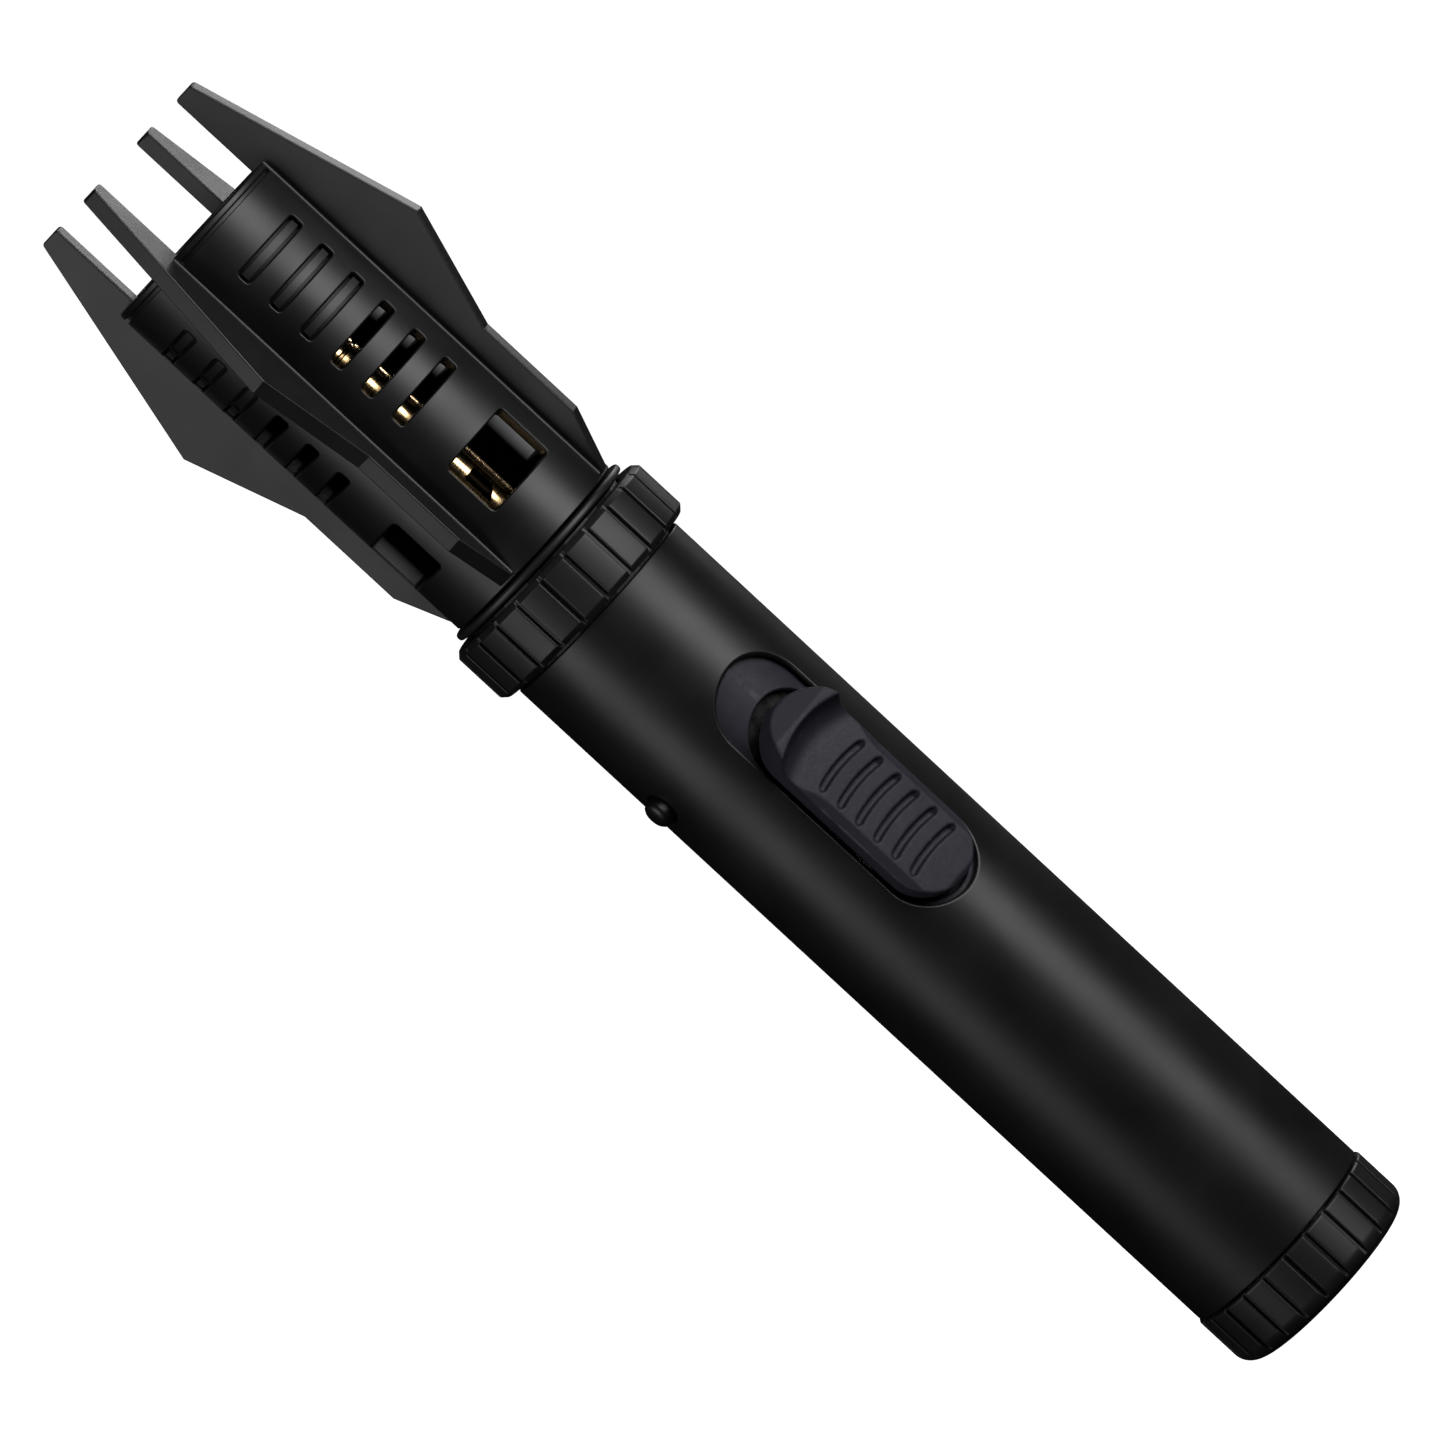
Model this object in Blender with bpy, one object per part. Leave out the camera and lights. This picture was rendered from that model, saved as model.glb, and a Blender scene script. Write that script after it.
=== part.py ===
"""Refillable torch lighter in a pen shape.

A slotted flame guard with four fins covers a brass burner at the head. A thumb slide in the
tube's side lifts the gas valve and fires the piezo igniter, a tiled ring at the neck sets the
flame, and a screw cap on the base covers the fill valve of the fuel tank.

The lighter stands upright on its base cap, with the origin at the centre of the cap's flat
end. +Z is the common axis and runs to the flame end, and the thumb side faces -Y. Lengths
are in millimetres below, and every mesh is turned into metres when its object is made.
Angles round the axis are counted from -Y towards +X, in degrees.
"""

import math

import bmesh
import bpy
from mathutils import Vector

MM = 0.001
GAP = 0.3

# Facets round a full turn, for seen pieces and for those inside.
OUTER_STEPS = 72
INNER_STEPS = 28
SMALL_STEPS = 16

# Outer envelope, from the base up.
TUBE_R = 14.0
TUBE_BORE_R = 13.1
CAP_R = 14.3
CAP_TOP = 8.4
CAP_EDGE_R = 2.4
TUBE_BOTTOM = CAP_TOP + GAP
COLLAR_R = 16.2
COLLAR_BORE_R = 13.2
COLLAR_BOTTOM = 123.2
COLLAR_TOP = 131.4
COLLAR_CHAMFER = 0.7
TUBE_TOP = 122.7
SEAT_R = 14.4
SEAT_BOTTOM = 132.0
SEAT_TOP = 133.0
GUARD_R = 13.5
GUARD_BORE_R = 11.35
GUARD_BOTTOM = SEAT_TOP + GAP
GUARD_RIM = 189.6

# Tiles round the neck collar and the base cap.
TILE_COUNT = 24
TILE_PITCH = 360.0 / TILE_COUNT
TILE_GROOVE_WIDTH = 0.6
TILE_GROOVE_DEPTH = 0.5
COLLAR_GROOVE_ANGLE = -1.7
CAP_GROOVE_ANGLE = 1.5

# Fins of the flame guard, as (radius, height) corners from the foot up.
FIN_ANGLES = (45.0, 135.0, 225.0, 315.0)
FIN_THICKNESS = 2.2
FIN_FOOT = (13.95, GUARD_BOTTOM + 0.4)
FIN_KNEE_LOW = (17.1, 141.4)
FIN_KNEE_HIGH = (17.1, 156.2)
FIN_PEAK = (22.4, 171.8)
FIN_TIP = (14.2, 202.3)
FIN_ROOT_R = 12.4
FIN_PRONG_BORE_R = GUARD_BORE_R + 0.1

# Openings of the flame guard, the same in the four panels between the fins.
PANEL_ANGLES = (0.0, 90.0, 180.0, 270.0)
OPENING_HALF_WIDTH = 5.6
SLOT_HEIGHT = 2.45
SLOT_PITCH = 5.06
SLOT_CORNER = 0.6
FIRST_SLOT = 156.45
THROUGH_SLOTS = 3
BLIND_SLOTS = 3
BLIND_FLOOR_R = 12.9
WINDOW_BOTTOM = 140.15
WINDOW_TOP = 148.55
WINDOW_CORNER = 0.8

# Thumb slide: its slot in the tube, the bed under it and the slide itself.
SLOT_BOTTOM = 67.3
SLOT_TOP = 106.6
SLOT_HALF_WIDTH = 6.4
BED_R = TUBE_BORE_R - GAP
BED_INNER_R = 11.9
BED_HALF_ANGLE = 37.0
BED_HOLE_BOTTOM = 67.9
BED_HOLE_TOP = 101.1
BED_HOLE_HALF_WIDTH = 5.8
SLIDE_TRAVEL = 5.2
SLIDE_BOTTOM = 68.4
SLIDE_TOP = 99.6
SLIDE_HALF_WIDTH = 5.9
SLIDE_UNDERSIDE_R = BED_R + GAP
NECK_HALF_WIDTH = 5.4
GRIP_HEIGHT = 15.2
SHOULDER_X = 4.8
SHOULDER_HEIGHT = 14.4
SHOULDER_TOP = 91.4
SADDLE = ((-GRIP_HEIGHT, 90.4), (-14.95, 91.8), (-14.8, 93.0), (-15.15, 94.3), (-16.2, 95.2))
CREST_HEIGHT = 17.8
CREST_Z = 96.3
GROOVE_COUNT = 6
GROOVE_FIRST = 74.0
GROOVE_PITCH = 3.0
GROOVE_WIDTH = 1.1
GROOVE_DEPTH = 0.75
GROOVE_HALF_LENGTH = 4.4
GROOVE_SAG = 0.5

# Lock stud on the -X side.
LOCK_Z = 100.4
LOCK_HEAD_R = 1.95
LOCK_HOLE_R = 2.3
LOCK_FLANGE_R = 2.55
LOCK_OUT = 1.6
LOCK_PIN_R = 0.9

# Inner frame that carries the mechanism.
CHASSIS_BOTTOM = 64.0
CHASSIS_TOP = 111.5
CHASSIS_START_ANGLE = BED_HALF_ANGLE + 1.6
CHASSIS_END_ANGLE = 179.2
SCREW_HEIGHTS = (84.0, 106.5)
SCREW_Y = 8.8
SCREW_R = 0.8

# Gas valve, its lever and the hose.
VALVE_Y = 3.2
LEVER_PIVOT_Y = 6.6
LEVER_Z = 72.0
LEVER_THICKNESS = 1.2
LEVER_TIP_Y = -9.9
HOSE_R = 1.7
HOSE_BORE_R = 0.95
HOSE_BOTTOM = 76.0
HOSE_TOP = 113.2

# Piezo igniter, beside the hose.
PIEZO_Y = -5.4
PIEZO_HALF_X = 3.8
PIEZO_HALF_Y = 3.0
PIEZO_BOTTOM = 88.4
PIEZO_TOP = 109.5
PLUNGER_HALF_X = 2.3
PLUNGER_HALF_Y = 1.7
PLUNGER_BOTTOM = 82.0

# Return spring of the slide.
SPRING_X = 6.1
SPRING_Y = -6.1
SPRING_SHELF_Z = 100.6

# Fuel tank and fill valve.
TANK_R = 12.6
TANK_BORE_R = 11.4
TANK_BOTTOM = 12.4
TANK_TOP = 60.0
LID_TOP = 62.6
FILL_HOLE_R = 4.7
FILL_BODY_R = 4.3

# Burner.
BURNER_R = 3.65
BURNER_BORE_R = 3.1
BURNER_BOTTOM = 133.8
BURNER_TOP = 174.0
AIR_HOLE_BOTTOM = 141.1
AIR_HOLE_TOP = 145.5
AIR_HOLE_HALF_WIDTH = 0.95
ELECTRODE_RADIUS = 8.0
ELECTRODE_ANGLE = 157.0
ADJUSTER_PIN_Z = 127.0
ADJUSTER_SWING = 50.0

# name: (red, green, blue, roughness, metallic)
FINISHES = {
    "black_paint": (0.018, 0.018, 0.019, 0.42, 0.0),
    "black_satin": (0.022, 0.022, 0.024, 0.5, 0.0),
    "charcoal_plastic": (0.045, 0.043, 0.055, 0.6, 0.0),
    "frame_plastic": (0.03, 0.03, 0.032, 0.6, 0.0),
    "clear_nylon": (0.62, 0.64, 0.6, 0.35, 0.0),
    "brass": (0.78, 0.52, 0.2, 0.22, 1.0),
    "steel": (0.55, 0.55, 0.56, 0.3, 1.0),
    "spring_steel": (0.42, 0.42, 0.44, 0.3, 1.0),
    "rubber": (0.02, 0.02, 0.02, 0.8, 0.0),
    "felt": (0.7, 0.68, 0.6, 0.95, 0.0),
    "ceramic": (0.86, 0.84, 0.78, 0.35, 0.0),
    "piezo_plastic": (0.5, 0.06, 0.04, 0.5, 0.0),
    "lead_sheath": (0.35, 0.02, 0.02, 0.6, 0.0),
    "hose_rubber": (0.72, 0.7, 0.62, 0.5, 0.0),
}


# ---------------------------------------------------------------- mesh helpers

def around(radius, angle, height=0.0):
    """Point at an angle in degrees from -Y towards +X."""
    turn = math.radians(angle)
    return (radius * math.sin(turn), -radius * math.cos(turn), height)


def add_skin(bm, rings, closed=False, capped=False):
    """Face the gaps between rings of points; a ring of one point is a pole."""
    rings = [[bm.verts.new(point) for point in ring] for ring in rings]
    following = rings[1:] + rings[:1] if closed else rings[1:]
    for ring, after in zip(rings, following):
        for k in range(max(len(ring), len(after))):
            corners = (
                ring[k % len(ring)],
                ring[(k + 1) % len(ring)],
                after[(k + 1) % len(after)],
                after[k % len(after)],
            )
            bm.faces.new(tuple(dict.fromkeys(corners)))
    if capped:
        bm.faces.new(rings[0])
        bm.faces.new(rings[-1])


def add_turned(bm, profile, steps=INNER_STEPS, centre=(0.0, 0.0), closed=True):
    """Turn a (radius, height) profile round an upright line.

    A closed profile makes a ring; an open one starts and ends on the line.
    """
    rings = []
    for radius, height in profile:
        count = steps if radius > 0.0 else 1
        ring = []
        for k in range(count):
            x, y, z = around(radius, 360.0 * k / steps, height)
            ring.append((centre[0] + x, centre[1] + y, z))
        rings.append(ring)
    add_skin(bm, rings, closed=closed)


def add_disc(bm, radius, bottom, top, steps=SMALL_STEPS, centre=(0.0, 0.0)):
    """Plain upright cylinder."""
    profile = ((0.0, bottom), (radius, bottom), (radius, top), (0.0, top))
    add_turned(bm, profile, steps, centre, closed=False)


def add_box(bm, low, high):
    """Box between two corners."""
    ring = ((low[0], low[1]), (high[0], low[1]), (high[0], high[1]), (low[0], high[1]))
    rings = [[(x, y, z) for x, y in ring] for z in (low[2], high[2])]
    add_skin(bm, rings, capped=True)


def add_prism(bm, outline, start, end, along):
    """Extrude an outline along X from (y, z) points, or along Y from (x, z) points."""
    rings = []
    for place in (start, end):
        if along == "X":
            rings.append([(place, a, b) for a, b in outline])
        else:
            rings.append([(a, place, b) for a, b in outline])
    add_skin(bm, rings, capped=True)


def add_sector(bm, radii, angles, heights, step=6.0):
    """Curved plate between two radii, two angles and two heights."""
    count = max(1, round((angles[1] - angles[0]) / step))
    rings = []
    for k in range(count + 1):
        angle = angles[0] + (angles[1] - angles[0]) * k / count
        rings.append([
            around(radii[0], angle, heights[0]),
            around(radii[1], angle, heights[0]),
            around(radii[1], angle, heights[1]),
            around(radii[0], angle, heights[1]),
        ])
    add_skin(bm, rings, capped=True)


def add_rod(bm, start, end, radius, steps=12):
    """Straight round rod between two points."""
    add_sweep(bm, (start, end), radius, steps)


def add_sweep(bm, path, radius, sides=8, bore=None):
    """Round section carried along a path, hollow if it has a bore."""
    path = [Vector(point) for point in path]
    outer = []
    inner = []
    side = None
    for k, point in enumerate(path):
        ahead = path[min(k + 1, len(path) - 1)] - path[max(k - 1, 0)]
        ahead.normalize()
        if side is None:
            side = ahead.orthogonal()
        side = (side - ahead * side.dot(ahead)).normalized()
        other = ahead.cross(side)
        turns = [2.0 * math.pi * n / sides for n in range(sides)]
        spokes = [side * math.cos(t) + other * math.sin(t) for t in turns]
        outer.append([point + spoke * radius for spoke in spokes])
        if bore:
            inner.append([point + spoke * bore for spoke in spokes])
    if bore:
        add_skin(bm, outer + inner[::-1], closed=True)
    else:
        add_skin(bm, outer, capped=True)


def helix(centre, coil_r, bottom, top, turns, steps_per_turn=10):
    """Points along an upright coil."""
    count = int(turns * steps_per_turn)
    points = []
    for k in range(count + 1):
        turn = 2.0 * math.pi * k / steps_per_turn
        height = bottom + (top - bottom) * k / count
        points.append((centre[0] + coil_r * math.cos(turn), centre[1] + coil_r * math.sin(turn), height))
    return points


def smooth_path(points, spans=4):
    """Catmull-Rom curve through points."""
    points = [Vector(point) for point in points]
    ends = [points[0] * 2.0 - points[1]] + points + [points[-1] * 2.0 - points[-2]]
    curve = [points[0]]
    for k in range(1, len(ends) - 2):
        before, start, end, after = ends[k - 1:k + 3]
        for n in range(1, spans + 1):
            t = n / spans
            bend = before * (-t + 2.0 * t**2 - t**3)
            bend += start * (2.0 - 5.0 * t**2 + 3.0 * t**3)
            bend += end * (t + 4.0 * t**2 - 3.0 * t**3)
            bend += after * (-(t**2) + t**3)
            curve.append(bend * 0.5)
    return curve


def arc_points(centre, radius, start, end, steps):
    """Points on an arc of a plane, angles in degrees, ends included."""
    points = []
    for k in range(steps + 1):
        turn = math.radians(start + (end - start) * k / steps)
        points.append((centre[0] + radius * math.cos(turn), centre[1] + radius * math.sin(turn)))
    return points


def stadium(half_width, bottom, top, steps=10):
    """Outline with two straight sides and half-round ends, in (x, z)."""
    upper = arc_points((0.0, top - half_width), half_width, 0.0, 180.0, steps)
    lower = arc_points((0.0, bottom + half_width), half_width, 180.0, 360.0, steps)
    return upper + lower


def rounded_box(half_width, bottom, top, corner, steps=3):
    """Rectangle with round corners, in (x, z)."""
    x = half_width - corner
    outline = arc_points((x, top - corner), corner, 0.0, 90.0, steps)
    outline += arc_points((-x, top - corner), corner, 90.0, 180.0, steps)
    outline += arc_points((-x, bottom + corner), corner, 180.0, 270.0, steps)
    outline += arc_points((x, bottom + corner), corner, 270.0, 360.0, steps)
    return outline


def turn_verts(bm, verts, angle):
    """Turn new points round the Z axis, in degrees from -Y towards +X."""
    turn = math.radians(angle)
    for vert in verts:
        x, y, z = vert.co
        vert.co = (
            x * math.cos(turn) - y * math.sin(turn),
            x * math.sin(turn) + y * math.cos(turn),
            z,
        )


# -------------------------------------------------------------- object helpers

def new_material(name, finish):
    """Principled material for one object."""
    red, green, blue, roughness, metallic = FINISHES[finish]
    material = bpy.data.materials.new(name)
    material.use_nodes = True
    shader = material.node_tree.nodes["Principled BSDF"]
    shader.inputs["Base Color"].default_value = (red, green, blue, 1.0)
    shader.inputs["Roughness"].default_value = roughness
    shader.inputs["Metallic"].default_value = metallic
    return material


def make_object(name, bm, pivot=(0.0, 0.0, 0.0)):
    """Object from a mesh in millimetres, with its origin at the pivot."""
    bmesh.ops.recalc_face_normals(bm, faces=bm.faces)
    bmesh.ops.translate(bm, vec=-Vector(pivot), verts=bm.verts)
    bmesh.ops.scale(bm, vec=(MM, MM, MM), verts=bm.verts)
    mesh = bpy.data.meshes.new(name)
    bm.to_mesh(mesh)
    bm.free()
    mesh.shade_smooth()
    mesh.set_sharp_from_angle(angle=math.radians(30.0))
    obj = bpy.data.objects.new(name, mesh)
    obj.location = Vector(pivot) * MM
    bpy.context.collection.objects.link(obj)
    return obj


def make_piece(name, bm, finish, pivot=(0.0, 0.0, 0.0)):
    """Named piece of the lighter with its own material."""
    obj = make_object(name, bm, pivot)
    obj.data.materials.append(new_material(name, finish))
    return obj


def make_guide(name, bm):
    """Helper solid that only shapes a piece and is no piece itself."""
    obj = make_object(name, bm)
    obj.hide_render = True
    obj.display_type = "WIRE"
    return obj


def shape_with(obj, guide, operation):
    """Cut, join or intersect a piece with a guide solid."""
    modifier = obj.modifiers.new(guide.name, "BOOLEAN")
    modifier.operation = operation
    modifier.object = guide
    modifier.solver = "EXACT"


# -------------------------------------------------------------- outer pieces

def tiled_ring(radius, floor_radius, height, first_groove):
    """One ring round a tiled part: grooves at floor_radius, tiles at radius."""
    half_groove = math.degrees(0.5 * TILE_GROOVE_WIDTH / CAP_R)
    points = []
    for k in range(TILE_COUNT):
        groove = first_groove + k * TILE_PITCH
        points.append(around(floor_radius, groove - 0.7 * half_groove, height))
        points.append(around(floor_radius, groove + 0.7 * half_groove, height))
        points.append(around(radius, groove + half_groove, height))
        points.append(around(radius, groove + 0.5 * TILE_PITCH, height))
        points.append(around(radius, groove + TILE_PITCH - half_groove, height))
    return points


def make_base_cap():
    """Tiled screw cap with a rounded end edge and a hollow for the neck of the end plug."""
    hollow_r = 11.3
    floor_top = 1.8
    mouth_chamfer = 0.3
    inside = [(hollow_r, floor_top), (hollow_r, CAP_TOP)]
    outside = [(CAP_R - mouth_chamfer, CAP_TOP), (CAP_R, CAP_TOP - mouth_chamfer)]
    edge_centre = (CAP_R - CAP_EDGE_R, CAP_EDGE_R)
    edge = arc_points(edge_centre, CAP_EDGE_R, 0.0, -90.0, 4)
    floor = CAP_R - TILE_GROOVE_DEPTH
    rings = [tiled_ring(r, r, z, CAP_GROOVE_ANGLE) for r, z in inside]
    for r, z in outside + edge:
        rings.append(tiled_ring(r, min(r, floor), z, CAP_GROOVE_ANGLE))
    bm = bmesh.new()
    add_skin(bm, rings, capped=True)
    make_piece("base_cap", bm, "black_satin")


def make_neck_collar():
    """Tiled flame ring, chamfered at both ends, with a socket for the adjuster pin."""
    floor = COLLAR_R - TILE_GROOVE_DEPTH
    end_r = COLLAR_R - COLLAR_CHAMFER
    outside = [
        (end_r, COLLAR_BOTTOM),
        (COLLAR_R, COLLAR_BOTTOM + COLLAR_CHAMFER),
        (COLLAR_R, COLLAR_TOP - COLLAR_CHAMFER),
        (end_r, COLLAR_TOP),
    ]
    rings = [tiled_ring(r, min(r, floor), z, COLLAR_GROOVE_ANGLE) for r, z in outside]
    for z in (COLLAR_TOP, COLLAR_BOTTOM):
        rings.append(tiled_ring(COLLAR_BORE_R, COLLAR_BORE_R, z, COLLAR_GROOVE_ANGLE))
    bm = bmesh.new()
    add_skin(bm, rings, closed=True)
    collar = make_piece("neck_collar", bm, "black_satin")
    socket = bmesh.new()
    add_rod(socket, (0.0, -12.0, ADJUSTER_PIN_Z), (0.0, -14.4, ADJUSTER_PIN_Z), 1.0, 12)
    shape_with(collar, make_guide("collar_socket", socket), "DIFFERENCE")


def make_body_tube():
    """Painted metal tube with the thumb slot and the hole for the lock stud."""
    bm = bmesh.new()
    profile = (
        (TUBE_BORE_R, TUBE_BOTTOM),
        (TUBE_R, TUBE_BOTTOM),
        (TUBE_R, TUBE_TOP),
        (TUBE_BORE_R, TUBE_TOP),
    )
    add_turned(bm, profile, OUTER_STEPS)
    tube = make_piece("body_tube", bm, "black_paint")
    holes = bmesh.new()
    add_prism(holes, stadium(SLOT_HALF_WIDTH, SLOT_BOTTOM, SLOT_TOP, 14), -16.0, -8.0, "Y")
    add_rod(holes, (-16.0, 0.0, LOCK_Z), (-8.0, 0.0, LOCK_Z), LOCK_HOLE_R, 24)
    shape_with(tube, make_guide("tube_holes", holes), "DIFFERENCE")


def make_seat_ring():
    """Thin bead ring between the neck collar and the guard."""
    bm = bmesh.new()
    edge = 0.3
    profile = (
        (GUARD_BORE_R, SEAT_BOTTOM),
        (SEAT_R - edge, SEAT_BOTTOM),
        (SEAT_R, SEAT_BOTTOM + edge),
        (SEAT_R, SEAT_TOP - edge),
        (SEAT_R - edge, SEAT_TOP),
        (GUARD_BORE_R, SEAT_TOP),
    )
    add_turned(bm, profile, OUTER_STEPS)
    make_piece("seat_ring", bm, "black_satin")


def add_fin(bm, angle):
    """One fin standing on the guard, running on above the rim as a prong."""
    corner = 0.5
    outline = [(FIN_ROOT_R, FIN_FOOT[1]), FIN_FOOT, FIN_KNEE_LOW, FIN_KNEE_HIGH, FIN_PEAK]
    outline += arc_points((FIN_TIP[0] - corner, FIN_TIP[1] - corner), corner, 15.0, 90.0, 3)
    inner = FIN_PRONG_BORE_R
    outline += arc_points((inner + corner, FIN_TIP[1] - corner), corner, 90.0, 180.0, 3)
    outline += [(inner, GUARD_RIM - 1.0), (FIN_ROOT_R, GUARD_RIM - 1.0)]
    fresh = len(bm.verts)
    points = [(-radius, height) for radius, height in outline]
    add_prism(bm, points, -0.5 * FIN_THICKNESS, 0.5 * FIN_THICKNESS, "X")
    bm.verts.ensure_lookup_table()
    turn_verts(bm, bm.verts[fresh:], angle)


def add_opening(bm, outline, angle, inner):
    """Prism through one panel of the guard, parallel to the panel's normal."""
    fresh = len(bm.verts)
    add_prism(bm, outline, -inner, -(GUARD_R + 2.0), "Y")
    bm.verts.ensure_lookup_table()
    turn_verts(bm, bm.verts[fresh:], angle)


def slot_outline(index):
    """Outline of one cooling slot, counted from the lowest."""
    middle = FIRST_SLOT + index * SLOT_PITCH
    half = 0.5 * SLOT_HEIGHT
    return rounded_box(OPENING_HALF_WIDTH, middle - half, middle + half, SLOT_CORNER)


def make_flame_guard():
    """Guard tube with four fins, four windows, and open and blind slots."""
    bm = bmesh.new()
    profile = (
        (GUARD_BORE_R, GUARD_BOTTOM),
        (GUARD_R, GUARD_BOTTOM),
        (GUARD_R, GUARD_RIM),
        (GUARD_BORE_R, GUARD_RIM),
    )
    add_turned(bm, profile, OUTER_STEPS)
    guard = make_piece("flame_guard", bm, "black_paint")

    fins = bmesh.new()
    for angle in FIN_ANGLES:
        add_fin(fins, angle)
    shape_with(guard, make_guide("guard_fins", fins), "UNION")

    window = rounded_box(OPENING_HALF_WIDTH, WINDOW_BOTTOM, WINDOW_TOP, WINDOW_CORNER)
    openings = bmesh.new()
    recesses = bmesh.new()
    for angle in PANEL_ANGLES:
        add_opening(openings, window, angle, 8.0)
        for index in range(THROUGH_SLOTS):
            add_opening(openings, slot_outline(index), angle, 8.0)
        for index in range(THROUGH_SLOTS, THROUGH_SLOTS + BLIND_SLOTS):
            add_opening(recesses, slot_outline(index), angle, 9.0)
    floor = bmesh.new()
    add_disc(floor, BLIND_FLOOR_R, GUARD_BOTTOM, GUARD_RIM, OUTER_STEPS)
    recess_guide = make_guide("guard_recesses", recesses)
    shape_with(recess_guide, make_guide("recess_floor", floor), "DIFFERENCE")
    shape_with(guard, make_guide("guard_openings", openings), "DIFFERENCE")
    shape_with(guard, recess_guide, "DIFFERENCE")


# ------------------------------------------------------- thumb slide and its bed

def make_slide_bed():
    """Curved plate under the slot, with the hole that the slide's neck runs in."""
    bm = bmesh.new()
    angles = (-BED_HALF_ANGLE, BED_HALF_ANGLE)
    add_sector(bm, (BED_INNER_R, BED_R), angles, (CHASSIS_BOTTOM, CHASSIS_TOP), 4.0)
    bed = make_piece("slide_bed", bm, "charcoal_plastic")
    hole = bmesh.new()
    outline = stadium(BED_HOLE_HALF_WIDTH, BED_HOLE_BOTTOM, BED_HOLE_TOP)
    add_prism(hole, outline, -16.0, -8.0, "Y")
    shape_with(bed, make_guide("bed_hole", hole), "DIFFERENCE")


def slide_side_outline():
    """Side view of the slide above the tube's centre line, as (y, z) points."""
    inner = -9.0
    top = [(-(CREST_HEIGHT - 0.3), CREST_Z - 0.7), (-CREST_HEIGHT, CREST_Z)]
    front = [(-16.2, SLIDE_TOP - 0.2), (-15.9, SLIDE_TOP), (inner, SLIDE_TOP)]
    rear = [(inner, SLIDE_BOTTOM), (-14.5, SLIDE_BOTTOM), (-GRIP_HEIGHT, SLIDE_BOTTOM + 0.7)]
    return rear + list(SADDLE) + top + front


def add_grip_groove(bm, middle):
    """Shallow cross groove, bowed towards the flame end."""
    steps = 6
    half = 0.5 * GROOVE_WIDTH
    rings = []
    for k in range(steps + 1):
        x = GROOVE_HALF_LENGTH * (2.0 * k / steps - 1.0)
        z = middle + GROOVE_SAG * (1.0 - (x / GROOVE_HALF_LENGTH) ** 2)
        floor = -(GRIP_HEIGHT - GROOVE_DEPTH)
        lip = -(GRIP_HEIGHT + 1.0)
        rings.append([(x, lip, z - half), (x, lip, z + half), (x, floor, z + half), (x, floor, z - half)])
    add_skin(bm, rings, capped=True)


def make_slide_trigger():
    """Thumb slide with a raised hook, a saddle behind it and six grip grooves."""
    bm = bmesh.new()
    add_prism(bm, slide_side_outline(), -6.5, 6.5, "X")
    slide = make_piece("slide_trigger", bm, "charcoal_plastic")

    plan = bmesh.new()
    add_prism(plan, stadium(SLIDE_HALF_WIDTH, SLIDE_BOTTOM, SLIDE_TOP, 12), -19.0, -8.0, "Y")
    shape_with(slide, make_guide("slide_plan", plan), "INTERSECT")

    underside = bmesh.new()
    add_disc(underside, SLIDE_UNDERSIDE_R, SLIDE_BOTTOM - 5.0, SLIDE_TOP + 5.0, OUTER_STEPS)
    shape_with(slide, make_guide("slide_underside", underside), "DIFFERENCE")

    shoulders = bmesh.new()
    for side in (-1.0, 1.0):
        ring = (
            (side * SHOULDER_X, -(GRIP_HEIGHT + 0.5)),
            (side * SHOULDER_X, -GRIP_HEIGHT),
            (side * SLIDE_HALF_WIDTH, -SHOULDER_HEIGHT),
            (side * 7.0, -SHOULDER_HEIGHT),
            (side * 7.0, -(GRIP_HEIGHT + 0.5)),
        )
        heights = (SLIDE_BOTTOM - 1.0, SHOULDER_TOP)
        add_skin(shoulders, [[(x, y, z) for x, y in ring] for z in heights], capped=True)
    shape_with(slide, make_guide("slide_shoulders", shoulders), "DIFFERENCE")

    neck = bmesh.new()
    neck_top = BED_HOLE_TOP - SLIDE_TRAVEL - GAP
    outline = stadium(NECK_HALF_WIDTH, SLIDE_BOTTOM + 0.1, neck_top)
    add_prism(neck, outline, -11.9, -13.8, "Y")
    shape_with(slide, make_guide("slide_neck", neck), "UNION")

    grooves = bmesh.new()
    for index in range(GROOVE_COUNT):
        add_grip_groove(grooves, GROOVE_FIRST + index * GROOVE_PITCH - GROOVE_SAG)
    shape_with(slide, make_guide("slide_grooves", grooves), "DIFFERENCE")


def make_trigger_carriage():
    """Slider under the bed: a lug for the valve lever and an arm for piezo and spring."""
    bm = bmesh.new()
    add_sector(bm, (10.5, 11.5), (-26.0, 26.0), (66.5, BED_HOLE_TOP - 0.1), 6.5)
    carriage = make_piece("trigger_carriage", bm, "frame_plastic")
    arms = bmesh.new()
    lug_top = LEVER_Z - 0.5 * LEVER_THICKNESS - GAP
    add_box(arms, (-2.0, -10.9, 67.5), (2.0, -8.4, lug_top))
    arm_top = PLUNGER_BOTTOM - GAP
    ring = ((-3.0, -10.9), (3.0, -10.9), (3.0, -8.0), (7.6, -8.0), (7.6, -4.2), (-3.0, -4.2))
    rings = [[(x, y, z) for x, y in ring] for z in (arm_top - 2.2, arm_top)]
    add_skin(arms, rings, capped=True)
    shape_with(carriage, make_guide("carriage_arms", arms), "UNION")


def make_trigger_spring():
    """Coil that pushes the slide back towards the base."""
    bm = bmesh.new()
    bottom = PLUNGER_BOTTOM + 0.3
    path = helix((SPRING_X, SPRING_Y), 1.35, bottom, SPRING_SHELF_Z - 0.6, 8)
    add_sweep(bm, path, 0.25, 4)
    make_piece("trigger_spring", bm, "spring_steel")


# ------------------------------------------------------------------- lock stud

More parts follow.
